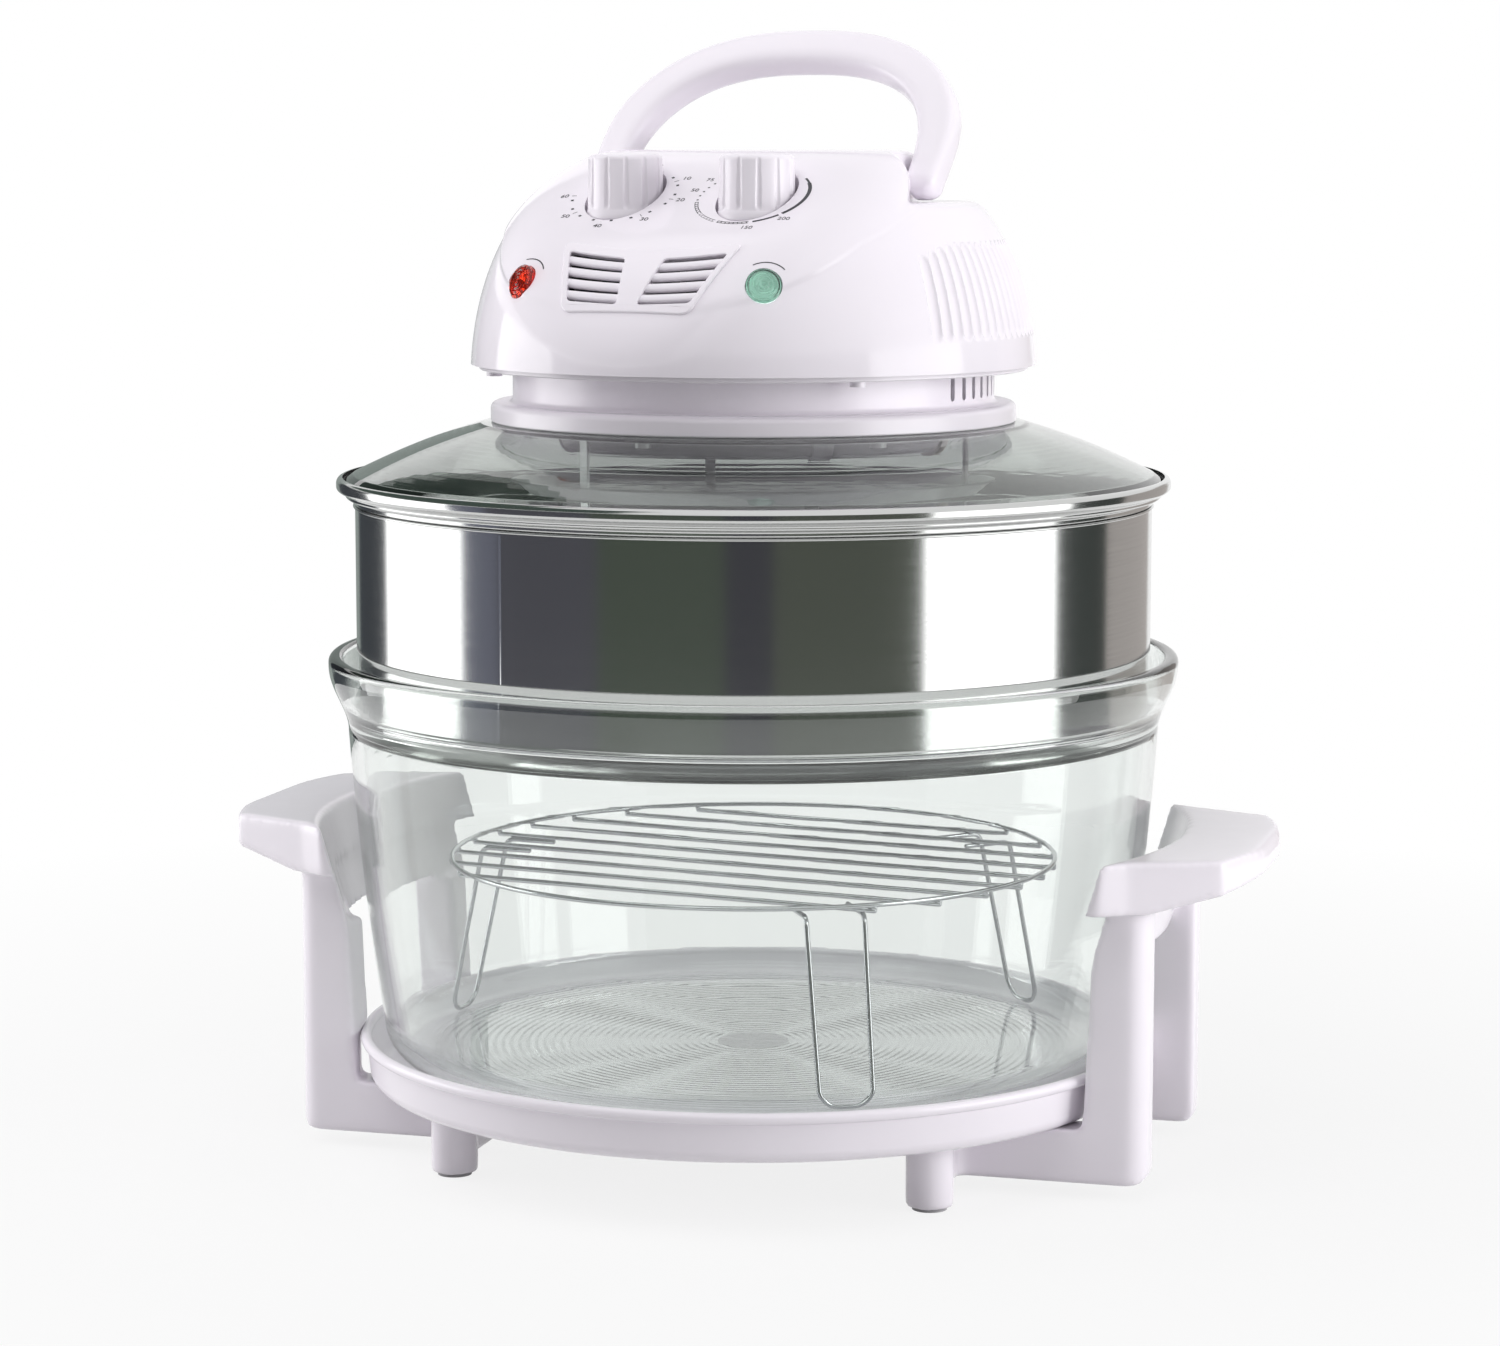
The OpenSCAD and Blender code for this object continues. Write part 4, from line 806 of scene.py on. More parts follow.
class OVEN_OT_steel(bpy.types.Operator):
    """Model the extender ring with its bead, step, rolled lip and welded seam"""
    bl_idname = "oven.steel"
    bl_label = "Extender ring"

    def execute(self, context):
        sizes = context.scene.oven_steel
        steel = polished_stainless()
        r, wall = ring_wall_r(), sizes.wall / MM
        foot, top = low("steel_ring"), high("steel_ring")
        step = foot + sizes.step_h / MM
        skirt = r - 0.8
        bead, hem = 1.2, 0.5
        outline = arc(skirt - wall / 2, foot + bead, bead, 120, 420, 16)
        outline += [(skirt, step - 1.2), (skirt + 0.15, step - 0.4), (r - 0.15, step + 0.8), (r, step + 1.6)]
        outline += [(r, top - 2 * hem - 0.5)] + arc(r + 0.3, top - hem, hem, 220, 450, 12)
        outline += [(r - wall + 0.6, top), (r - wall, top - 0.8)]
        outline += [(r - wall, step + 1.8), (skirt - wall, step)]
        seam = sizes.seam_turn
        turns = list(np.linspace(0, 2 * np.pi, 320, endpoint=False))
        turns += [(seam + math.radians(a)) % (2 * math.pi) for a in (-0.5, -0.14, 0, 0.14, 0.5)]
        points, faces = lathe(outline, turns=sorted(turns))
        points = [self.raised(p, seam, foot + 3, top - 5) for p in points]
        add_piece("extender_ring", (points, faces), steel, "ring", ["steel_ring"], crease=40)
        return {'FINISHED'}

    def raised(self, point, seam, bottom, top):
        """The point, moved out by a hair where the seam's weld stands proud."""
        x, y, z = point
        half_w, proud = math.radians(0.2), 0.12
        off = (math.atan2(y, x) - seam + math.pi) % (2 * math.pi) - math.pi
        if abs(off) < half_w and bottom < z < top:
            grow = 1 + proud / math.hypot(x, y)
            return x * grow, y * grow, z
        return point


class OVEN_OT_lid(bpy.types.Operator):
    """Model the lid's glass, its steel band, the flange ring and the slotted collar"""
    bl_idname = "oven.lid"
    bl_label = "Lid"

    def execute(self, context):
        scene = context.scene
        finish = scene.oven_finish
        wall = scene.oven_steel.wall / MM
        glass = toughened_glass("Toughened lid glass", finish.lid_clear, finish.glass_tint, 24)
        white = moulded_abs("Moulded white collar ABS", finish.white, 0.24)
        steel = bpy.data.materials["Polished stainless steel"]
        rubber = silicone_rubber("Black silicone rubber", linear("17181A"))
        add_piece("lid_pane", lathe(self.pane(scene.oven_lid)), glass, "lid", ["lid_glass"], crease=50)
        add_piece("lid_rim", lathe(self.band(wall), 320), steel, "lid", ["lid_band"], crease=50)
        add_piece("flange_ring", lathe(self.flange()), white, "lid", ["lid_flange"])
        add_piece("slotted_collar", self.collar(scene.oven_lid), white, "lid", ["collar"])
        add_piece("rim_seal", lathe(self.seal(wall, scene.oven_lid.glass / MM)), rubber, "lid", ["lid_seal"])
        return {'FINISHED'}

    def pane(self, sizes):
        """The glass's half section: a slope that swells a little, and a flat crown with a hole."""
        thick, fall = sizes.glass / MM, sizes.fall / MM
        edge_r, top = reach("lid_glass"), high("lid_glass")
        bend_r = reach("lid_flange") + 1.5
        hole_r, swell_h = 90, 1.6
        outer = [(edge_r, top - fall - 0.8), (edge_r - 0.8, top - fall)]
        slope = fall / (edge_r - bend_r)
        swell = [(edge_r + (bend_r - edge_r) * t, top - fall + fall * t + swell_h * math.sin(math.pi * t))
                 for t in np.linspace(0.06, 0.96, 16)]
        under = [(r, z - thick) for r, z in reversed(swell)]
        rim = [(hole_r, top), (hole_r, top - thick)]
        crown = [(bend_r - 3, top), (hole_r + 1, top)]
        low_side = [(hole_r + 1, top - thick), (bend_r - 3, top - thick)]
        return outer + swell + crown + rim + low_side + under + [(edge_r - 1, top - fall - thick + slope)]

    def band_skin(self):
        """The band's outer side from its foot up: a skirt in line with the ring, a roll and a bead."""
        bulge, foot = reach("lid_band"), high("steel_ring")
        return [(bulge + x, foot + z) for x, z in (
            (-6.9, 0.2), (-6.9, 2.4), (-4.6, 2.6), (-3.5, 3.2), (-3.5, 4.4), (-2.6, 4.9), (-0.9, 5.5),
            (-0.05, 6.3), (0, 8.8), (-0.6, 10.0), (-1.8, 10.6))]

    def band(self, wall):
        """The rolled band round the lid's edge, with a lip that drops into the ring."""
        foot, lip_r = high("steel_ring"), self.lip_r(wall)
        web_z, lip_z = foot + 1, foot + 7.4
        outer = self.band_skin()
        top = outer[-1][1]
        inner = [(r - wall, min(z + 0.4, top)) for r, z in outer[:0:-1]]
        outline = [(lip_r - wall, low("lid_band")), (lip_r, low("lid_band")), (lip_r, foot + 0.2)] + outer
        outline += inner + [(inner[-1][0], web_z), (lip_r, web_z), (lip_r, lip_z), (lip_r - wall, lip_z)]
        return softened(outline, 0.7)

    def lip_r(self, wall):
        """Outer radius of the band's lip, which drops into the ring."""
        clearance = 0.4
        return ring_wall_r() - wall - clearance

    def seal(self, wall, thick):
        """The rubber that fills the band under and round the glass's edge."""
        gap, glass_rise = 0.1, 10
        foot, lip_r, edge_r = high("steel_ring"), self.lip_r(wall) + gap, reach("lid_glass") + gap
        under = foot + glass_rise - thick - gap
        skin = [(r - wall - gap, z + 0.5) for r, z in self.band_skin()[1:-2]]
        outline = [(lip_r, foot + 1.1), (skin[0][0], foot + 1.1)] + skin
        return outline + [(edge_r, skin[-1][1]), (edge_r, under), (lip_r, under + 1.6)]

    def flange(self):
        """The ring that clamps the glass, rounded over and blended into the collar's foot."""
        shield_gap, collar_foot, sheet = 4.5, 2, 2.5
        r, top = reach("lid_flange"), low("heat_shield") - shield_gap - collar_foot
        hole_r, glass_hole_r = 82, 89.6
        under, glass_top = low("lid_flange"), high("lid_glass")
        outline = [(hole_r, under), (glass_hole_r, under), (glass_hole_r, glass_top)]
        outline += [(r - 0.5, glass_top), (r, glass_top + 0.5)]
        outline += arc(r - sheet, top - sheet, sheet, 0, 90, 8)
        outline += [(COLLAR_R + 2.2, top)] + arc(COLLAR_R + 2, top + 2, 2, -90, -180, 8)
        return outline + [(hole_r, top + 2)]

    def collar(self, sizes):
        """A ring and its top plate, with rounded air slots on both sides."""
        r, wall, plate_t, slot_pitch = COLLAR_R, 2.5, 2, 5
        foot, top = low("collar"), high("collar")
        plate_r, hole_r = reach("collar"), 40
        outline = [(r - wall, foot), (r, foot), (r, top - plate_t - 0.6), (r + 0.6, top - plate_t)]
        outline += [(plate_r - 0.4, top - plate_t), (plate_r, top - plate_t + 0.4), (plate_r, top)]
        outline += [(hole_r, top), (hole_r, top - plate_t), (r - wall, top - plate_t)]
        mesh = new_mesh("slotted_collar", lathe(outline))
        half = sizes.slot_w / MM / 2
        slot_foot, slot_top = foot + 2.2, top - plate_t - 1.8
        slot = arc(0, slot_top, half, 0, 180, 8) + arc(0, slot_foot, half, 180, 360, 8)
        upright = Matrix.Translation((r + 4, 0, 0)) @ Matrix.Rotation(math.radians(-90), 4, 'Z')
        upright = upright @ Matrix.Rotation(math.radians(90), 4, 'X')
        cutter = placed(prism(slot, 0, 10), upright)
        turns = [side + way * slot_pitch * i for side, way in ((9, -1), (171, 1)) for i in range(sizes.slots)]
        cutters = [placed(cutter, Matrix.Rotation(math.radians(-a - HEAD_TURN), 4, 'Z')) for a in turns]
        return carved(mesh, joined(cutters))


class OVEN_OT_heater(bpy.types.Operator):
    """Model the coiled wire in the quartz tube and finish the heater's other pieces"""
    bl_idname = "oven.heater"
    bl_label = "Heater"

    def execute(self, context):
        dress(fused_quartz(), "quartz_tube")
        dress(steatite(), "tube_caps")
        dress(sheet_aluminium(), "guard_dish", "clamp_ring", "heat_shield", "motor_bracket", "hot_air_fan",
              "tube_clips")
        bright = zinc_plate("Bright zinc plate", linear("E8E8EA"), 0.3)
        dress(bright, "guard_hangers", "clamp_screws", "pivot_pins", "motor_shaft", "timer_spindle",
              "thermostat_spindle")
        dress(bpy.data.materials["Moulded white collar ABS"], "dome_screws")
        dress(moulded_pbt(), "lamp_holders", "timer_body", "thermostat_body", "handle_switch", "cord_gland",
              "cooling_fan")
        dress(lamination_steel(), "fan_motor")
        dress(moulded_abs("Moulded cream block", linear("E6E0D0"), 0.4), "terminal_block")
        add_piece("heating_coil", self.coil(), heating_wire(), "lid", ["filament"])
        return {'FINISHED'}

    def coil(self):
        """A wire wound along the tube's circle."""
        ring_r, z = 70, (low("filament") + high("filament")) / 2
        gap, start, turns, winding_r, wire_r = 24, 28, 150, 0.62, 0.17
        steps = turns * 8
        path = []
        for i in range(steps + 1):
            a = math.radians(start - HEAD_TURN + gap / 2 + (360 - gap) * i / steps)
            w = 2 * math.pi * turns * i / steps
            r = ring_r + winding_r * math.cos(w)
            path.append((r * math.cos(a), r * math.sin(a), z + winding_r * math.sin(w)))
        return sweep(path, circle(0, 0, wire_r, 5), (0, 0, 1))


# Housing

class Housing:
    """Shape of the housing, in the head's own directions and in millimetres."""

    def __init__(self, scene):
        sizes, controls = scene.oven_housing, scene.oven_controls
        self.foot_r = 109
        self.height = DOME_TOP - DOME_Z
        self.slope, self.start = sizes.panel_slope, sizes.panel_start / MM
        self.grille_slope = sizes.grille_slope
        self.grille_start = self.foot_r - sizes.grille_inset / MM
        self.grille_z = DOME_TOP - (self.grille_start - self.start) * math.tan(self.slope)
        self.ledge = DOME_TOP - sizes.ledge_drop / MM
        self.pod_half = self.foot_r - sizes.pod_inset / MM
        self.pod_back = sizes.pod_back / MM
        self.cowl, self.flute_pitch = sizes.cowl / MM, math.degrees(sizes.flute_pitch)
        self.flute_depth = sizes.flute_depth / MM
        # direction of each side's first flute, in degrees behind the side
        self.first, self.flute_rows = -23.4, sizes.flutes - 1
        self.well_z = DOME_TOP - 26.5
        self.knob_y = self.foot_r - controls.knob_inset / MM
        self.knob_x = controls.knob_x / MM
        self.lens_turn, self.lens_tilt = controls.lens_turn, controls.lens_tilt
        self.lens_z = self.well_z - 22
        t = np.linspace(0, 1, 400)[:, None]
        corners = np.array([(self.foot_r, 0), (self.foot_r - 2, 0.44 * self.height),
                            (self.foot_r - 17, 0.81 * self.height), (self.foot_r - 47, self.height)])
        weights = np.hstack([(1 - t) ** 3, 3 * (1 - t) ** 2 * t, 3 * (1 - t) * t ** 2, t ** 3])
        self.profile = weights @ corners
        self.steepness = -np.gradient(self.profile[:, 0], self.profile[:, 1])

    @staticmethod
    def either(a, b, soft):
        """The larger of two distances, rounded over where they are close."""
        mix = np.clip(0.5 + (a - b) / (2 * soft), 0, 1)
        return b + (a - b) * mix + soft * mix * (1 - mix)

    @staticmethod
    def past_slant(side, behind, across, along):
        """Distance past an upright face of the raised block that slants against its side."""
        return (side * across + behind * along) / math.hypot(across, along)

    @staticmethod
    def ease(value, start, end):
        """Zero up to start and one from end on, with a soft run between them."""
        t = np.clip((value - start) / (end - start), 0, 1)
        return t * t * (3 - 2 * t)

    def radius(self, z):
        """Radius of the plain round body at a height."""
        return np.interp(z - DOME_Z, self.profile[:, 1], self.profile[:, 0])

    def flutes(self, x, y, z):
        """Depth of the flutes pressed into both sides; their tops fall off towards the front."""
        turn = np.degrees(np.arctan2(y, np.abs(x)))
        row = np.clip(np.round((turn - self.first) / self.flute_pitch), 0, self.flute_rows)
        half_pitch, bottom, tallest, run_out = 0.46, 15, 44.5, 3
        off = (turn - self.first - row * self.flute_pitch) / (half_pitch * self.flute_pitch)
        top = tallest - 0.025 * np.minimum(self.first + row * self.flute_pitch + 10, 0) ** 2
        beyond = np.maximum(0, np.maximum(DOME_Z + bottom - z, z - DOME_Z - top)) / run_out
        return self.flute_depth * np.sqrt(np.clip(1 - off ** 2 - beyond ** 2, 0, 1))

    def columns(self):
        """Directions of the skin's columns in degrees, set closer where the flutes are."""
        last = self.first + (self.flute_rows + 0.5) * self.flute_pitch
        right = np.arange(self.first - self.flute_pitch / 2, last, self.flute_pitch / 12)
        rear = np.arange(right[-1] + 0.5, 90, 0.5)
        front = np.arange(-90, right[0] - 0.25, 0.5)
        half = np.concatenate([front, right, rear])
        return np.radians(np.concatenate([half, [90], 180 - half[:0:-1]]))

    def crease(self, y):
        """Height above which the skin stands proud: a line below the control panel, which rises
        less steeply than the panel behind its bend."""
        below_panel, bend_y, less = 11.5, -60, 0.22
        panel_z = DOME_TOP + (y + self.start) * math.tan(self.slope)
        return panel_z - below_panel - less * np.maximum(0, y - bend_y)

    def block(self, x, y):
        """About how far points are outside the raised block, which widens in front and narrows behind."""
        flare_y, flare_across, flare_along = -4, 16.5, 24
        taper_y, taper_across, taper_along = 16, 16, 6.5
        flare_soft, taper_soft, back_soft = 3, 4, 5
        side = np.abs(x) - self.pod_half
        flare = self.past_slant(side, y - flare_y, flare_across, flare_along)
        taper = self.past_slant(side, y - taper_y, taper_across, taper_along)
        block = -self.either(-side, -flare, flare_soft)
        return self.either(self.either(block, taper, taper_soft), y - self.pod_back, back_soft)

    def distance(self, x, y, z, fluted=True):
        """About how far points are outside the housing's skin."""
        panel_soft, face_soft, top_soft, ledge_soft, step_soft = 11, 7, 5, 3.5, 1.5
        crease = self.crease(y)
        radius = self.radius(z) + self.cowl * self.ease(z, crease - 1, crease + 2.2)
        if fluted:
            radius = radius - self.flutes(x, y, z)
        lean = np.interp(z - DOME_Z, self.profile[:, 1], self.steepness)
        body = (np.hypot(x, y) - radius) / np.sqrt(1 + lean ** 2)
        panel = (z - DOME_TOP) * math.cos(self.slope) - (y + self.start) * math.sin(self.slope)
        face = (z - self.grille_z) * math.cos(self.grille_slope)
        face = face - (y + self.grille_start) * math.sin(self.grille_slope)
        step = -self.either(-(z - self.ledge), -self.block(x, y), step_soft)
        skin = self.either(body, panel, panel_soft)
        skin = self.either(skin, face, face_soft)
        skin = self.either(skin, z - DOME_TOP, top_soft)
        return self.either(skin, step, ledge_soft)

    def shell(self, inset, below, turns, rows):
        """Points and faces of the skin drawn in by inset, closed under its foot."""
        middle = DOME_Z + 22
        lower = [(z, 0.0) for z in np.linspace(DOME_Z - below, middle, rows // 7, endpoint=False)]
        upper = [(middle, e) for e in np.radians(np.linspace(0, 90, rows, endpoint=False))]
        farthest, halvings = 150.0, 26
        points = []
        for z, lift in lower + upper:
            near, far = np.zeros(len(turns)), np.full(len(turns), farthest)
            for _ in range(halvings):
                reach_out = (near + far) / 2
                x = reach_out * math.cos(lift) * np.cos(turns)
                y = reach_out * math.cos(lift) * np.sin(turns)
                outside = self.distance(x, y, np.maximum(z + reach_out * math.sin(lift), DOME_Z),
                                        inset == 0) + inset > 0
                far = np.where(outside, reach_out, far)
                near = np.where(outside, near, reach_out)
            points.extend(zip(x, y, z + reach_out * math.sin(lift)))
        rows, size = len(lower) + len(upper), len(turns)
        crown, foot = len(points), len(points) + 1
        points += [(0, 0, DOME_TOP - inset), (0, 0, DOME_Z - below)]
        last = (rows - 1) * size
        fans = [[(foot, (i + 1) % size, i), (crown, last + i, last + (i + 1) % size)] for i in range(size)]
        return points, tube(rows, size, False) + [face for pair in fans for face in pair]

    def lens_frame(self, side):
        """Matrix whose Z points out of the lamp on one side."""
        out_r = self.radius(self.lens_z) - 0.4
        return (Matrix.Rotation(-math.pi / 2 + side * self.lens_turn, 4, 'Z')
                @ Matrix.Translation((out_r, 0, self.lens_z))
                @ Matrix.Rotation(math.pi / 2 - self.lens_tilt, 4, 'Y'))

    def grille_frame(self):
        """Matrix of the grille's face, with Y up its slope and Z out of it."""
        return (Matrix.Translation((0, -self.grille_start, self.grille_z))
                @ Matrix.Rotation(self.grille_slope, 4, 'X'))


class OVEN_OT_housing(bpy.types.Operator):
    """Model the housing with its control panel, ledge, fluted sides, knob wells and grille opening"""
    bl_idname = "oven.housing"
    bl_label = "Housing"

    def execute(self, context):
        housing = Housing(context.scene)
        wall = context.scene.oven_housing.wall / MM
        well_r = reach("timer_knob") + context.scene.oven_controls.well_gap / MM
        mesh = new_mesh("housing", housing.shell(0, 0, housing.columns(), 200))
        inner_turns = np.linspace(0, 2 * np.pi, 240, endpoint=False)
        hollow = new_mesh("hollow", housing.shell(wall, 1, inner_turns, 70))
        cups = [drum(s * housing.knob_x, -housing.knob_y, well_r + wall, housing.well_z - wall, DOME_TOP)
                for s in (-1, 1)]
        mesh = carved(mesh, carved(hollow, joined(cups)))
        mesh = carved(mesh, joined(self.openings(housing, well_r)))
        mesh.name = "housing"
        mesh.transform(HEAD)
        white = moulded_abs("Moulded white housing ABS", context.scene.oven_finish.white, 0.1)
        add_piece("housing", mesh, white, "lid", ["dome"], crease=38)
        return {'FINISHED'}

    def openings(self, housing, well_r):
        """Wells, spindle holes, lamp holes, pin holes, the cord's hole and the grille's opening."""
        hole_r, lens_r, gland_r, gland_y, gland_z = 3.2, 6.8, 6.7, 84, DOME_Z + 12
        cuts = []
        for side in (-1, 1):
            x, y = side * housing.knob_x, -housing.knob_y
            cuts.append(drum(x, y, well_r, housing.well_z, DOME_TOP + 20))
            cuts.append(drum(x, y, hole_r, housing.well_z - 5, housing.well_z + 1, 32))
            cuts.append(placed(drum(0, 0, lens_r, -8, 12), housing.lens_frame(side)))
            pin = Matrix.Translation((side * housing.pod_half, PIVOT_BACK, housing.ledge + PIVOT_RISE))
            pin = pin @ Matrix.Rotation(math.pi / 2, 4, 'Y')
            cuts.append(placed(drum(0, 0, hole_r, -10, 10, 32), pin))
            cuts.append(placed(prism(grille_window(side, 0.6), -14, 10), housing.grille_frame()))
        gland = Matrix.Translation((0, gland_y, gland_z)) @ Matrix.Rotation(-math.pi / 2, 4, 'X')
        cuts.append(placed(drum(0, 0, gland_r, 0, 40, 48), gland))
        return cuts


def grille_bow(x):
    """Rise of the grille's rows towards its sides, on its sloping face."""
    return 3.7 * (abs(x) / 33) ** 1.7


def grille_outline():
    """The grille's outline on its sloping face, with rounded corners and a bowed upper edge."""
    half_top, half_foot, top, foot = 37.6, 26.6, 3.1, -26.2
    upper = [(x, top + grille_bow(x)) for x in np.linspace(-half_top, half_top, 9)]
    return softened(upper + [(half_foot, foot), (-half_foot, foot)], 4, 6)


def grille_window(side, grow=0.0):
    """The opening on one side of the grille, widened all round by grow."""
    (inner, outer), (foot_inner, foot_outer), (top, foot) = WINDOW_TOP, WINDOW_FOOT, WINDOW_Y
    upper = [(x, top + grow + grille_bow(x)) for x in np.linspace(inner - grow, outer + grow, 6)]
    lower = [(x, foot - grow + 0.6 * grille_bow(x))
             for x in np.linspace(foot_outer + grow, foot_inner - grow, 6)]
    return softened([(side * x, y) for x, y in upper + lower], 1.6, 3)


class OVEN_OT_grille(bpy.types.Operator):
    """Model the grille: a raised frame with two windows of rounded louvres, laid on the housing"""
    bl_idname = "oven.grille"
    bl_label = "Front grille"
    bars = 4

    def execute(self, context):
        housing = Housing(context.scene)
        mesh = self.plate([grille_outline(), grille_window(-1), grille_window(1)], -0.5, 0.8, 0.5)
        work = bmesh.new()
        work.from_mesh(mesh)
        long_edges = [e for e in work.edges if e.calc_length() > 2.5 * MM]
        bmesh.ops.subdivide_edges(work, edges=long_edges, cuts=3, use_grid_fill=True)
        bmesh.ops.triangulate(work, faces=work.faces)
        bars = new_mesh("bars", joined([self.bar(side, i) for side in (-1, 1) for i in range(self.bars)]))
        work.from_mesh(bars)
        self.lay(work, housing)
        work.to_mesh(mesh)
        work.free()
        mesh.transform(HEAD)
        white = moulded_abs("Moulded white grille ABS", context.scene.oven_finish.white, 0.2)
        add_piece("grille_frame", mesh, white, "lid", ["front_grille"], crease=45)
        return {'FINISHED'}

    def lay(self, work, housing):
        """Bring flat points, with Z as their height, down on the housing's curved skin."""
        local = housing.grille_frame()
        points = np.array([v.co for v in work.verts]) / MM
        turn = np.array(local.to_3x3())
        flat = points[:, :2] @ turn[:, :2].T + np.array(local.translation)
        deepest, highest, halvings = -12.0, 8.0, 24
        near, far = np.full(len(points), deepest), np.full(len(points), highest)
        for _ in range(halvings):
            lift = (near + far) / 2
            spot = flat + lift[:, None] * turn[:, 2]
            outside = housing.distance(spot[:, 0], spot[:, 1], spot[:, 2], False) > 0
            far = np.where(outside, lift, far)
            near = np.where(outside, near, lift)
        spots = flat + (lift + points[:, 2])[:, None] * turn[:, 2]
        for vert, spot in zip(work.verts, spots):
            vert.co = Vector(spot) * MM

    def plate(self, loops, bottom, top, soft):
        """A plate cut from flat loops, with rounded edges."""
        curve = bpy.data.curves.new("plate", 'CURVE')
        curve.dimensions = '2D'
        curve.fill_mode = 'BOTH'
        for loop in loops:
            spline = curve.splines.new('POLY')
            spline.points.add(len(loop) - 1)
            spline.points.foreach_set("co", [c for x, y in loop for c in (x * MM, y * MM, 0, 1)])
            spline.use_cyclic_u = True
        curve.extrude = ((top - bottom) / 2 - soft) * MM
        curve.bevel_depth = soft * MM
        curve.bevel_resolution = 3
        curve.offset = -soft * MM
        mesh = evaluated(curve)
        mesh.transform(Matrix.Translation((0, 0, (top + bottom) / 2 * MM)))
        return mesh

    def bar(self, side, i):
        """A rounded louvre that follows the grille's bow from one window edge to the other."""
        half_h, half_t, sunk, into, first, pitch = 1.75, 1.5, 1.2, 0.8, -4.75, 4.95
        share = (i + 1) / (self.bars + 1)
        inner, outer = (a + (b - a) * share for a, b in zip(WINDOW_TOP, WINDOW_FOOT))
        path = [(side * x, first - pitch * i + (1 - 0.4 * share) * grille_bow(x), -sunk)
                for x in np.linspace(inner - into, outer + into, 14)]
        return sweep(path, squarish(half_h, half_t, 0.7, 16), (0, 1, 0))


# Controls

class OVEN_OT_lamps(bpy.types.Operator):
    """Model the two lamps: a ringed lens over a coloured reflector"""
    bl_idname = "oven.lamps"
    bl_label = "Lamps"

    def execute(self, context):
        housing = Housing(context.scene)
        finish = context.scene.oven_finish
        for side, node, tint, name in ((-1, "power_lens", finish.red, "Red"),
                                       (1, "heat_lens", finish.green, "Green")):
            acrylic = tinted_acrylic(name + " acrylic", tint)
            mirror = lamp_reflector(name + " reflector", tint)
            for title, outline, material in (("lens", self.lens(), acrylic), ("cup", self.cup(), mirror)):
                mesh = new_mesh(node + "_" + title, placed(lathe(outline, 96), housing.lens_frame(side)))
                mesh.transform(HEAD)
                piece = add_piece(node + "_" + title, mesh, material, "lid", crease=30)
                if title == "lens":
                    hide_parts(node)
        return {'FINISHED'}

    def lens(self):
        """The lens's half section: a low crown with moulded rings, hollow behind."""
        r, crown, fall, ring_h, ring_pitch, foot, back = 6.6, 1.5, 0.9, 0.16, 1.5, -2.4, -1.2
        face = [(x, crown - fall * (x / r) ** 2 + ring_h * math.cos(2 * math.pi * x / ring_pitch))
                for x in np.linspace(0, r - 0.7, 40)]
        return face + [(r - 0.3, 0.5), (r, 0.1), (r, foot), (r - 0.8, foot), (r - 0.8, back), (0, back)]

    def cup(self):
        """The reflector's half section, with rings on its face."""
        r, face_z, depth, ring_pitch, back = 5.6, -1.9, 0.5, 1.9, -4
        face = [(x, face_z - depth * (1 - math.cos(2 * math.pi * x / ring_pitch)))
                for x in np.linspace(0, r, 30)]
        return face + [(r, back), (0, back)]


class OVEN_OT_knobs(bpy.types.Operator):
    """Model the two fluted knobs with their pointer grooves"""
    bl_idname = "oven.knobs"
    bl_label = "Knobs"

    def execute(self, context):
        housing = Housing(context.scene)
        white = moulded_abs("Moulded white knob ABS", context.scene.oven_finish.white, 0.2)
        for side, node, body in ((-1, "timer_knob", "timer"), (1, "thermostat_knob", "thermostat")):
            mesh = self.knob(node, context.scene.oven_controls.flutes)
            mesh.transform(Matrix.Translation(Vector((side * housing.knob_x, -housing.knob_y, 0)) * MM))
            mesh.transform(HEAD)
            add_piece(node.replace("_knob", "_cap"), mesh, white, body, [node], crease=40)
        return {'FINISHED'}

    def knob(self, node, flutes):
        """A knob with a skirt, flutes that run out above it, a bore and a pointer groove."""
        r, foot, top = reach(node), low(node), high(node)
        skirt, groove_r, groove_out = 3.2, 1.3, 0.2
        rows = [(r - 0.5, foot), (r, foot + 0.5), (r, foot + skirt), (r - 0.25, foot + skirt + 0.5)]
        rows += [(r - 0.3 - 0.4 * t, foot + skirt + 0.8 + (top - foot - skirt - 3.2) * t)
                 for t in np.linspace(0, 1, 24)]
        rows += arc(r - 2.9, top - 2.2, 2.2, 0, 88, 7) + [(r - 6, top), (2, top)]
        turns = np.linspace(0, 2 * np.pi, flutes * 30, endpoint=False)
        off = (turns + np.pi / flutes) % (2 * np.pi / flutes) - np.pi / flutes
        points = []
        for row_r, z in rows:
            radii = np.full(len(turns), row_r)
            rise = max(0.0, groove_r - (z - foot - skirt - 1))
            cut = math.sqrt(max(0.0, groove_r ** 2 - min(rise, groove_r) ** 2))
            centre = r + groove_out
            inside = cut ** 2 - (centre * np.sin(off)) ** 2
            limit = centre * np.cos(off) - np.sqrt(np.maximum(inside, 0))
            if z > foot + skirt + 1:
                radii = np.where(inside > 0, np.minimum(radii, limit), radii)
            points.extend(zip(radii * np.cos(turns), radii * np.sin(turns), [z] * len(turns)))
        mesh = new_mesh(node, (points, tube(len(rows), len(turns))))
        cap_t, pointer_w, pointer_depth = 4.5, 0.8, 0.6
        bore = drum(0, 0, BORE_R, foot - 1, top - cap_t, 48)
        pointer = [(-pointer_w, -r + 3), (pointer_w, -r + 3), (pointer_w, -1), (-pointer_w, -1)]
        return carved(mesh, joined([bore, prism(pointer, top - pointer_depth, top + 1)]))


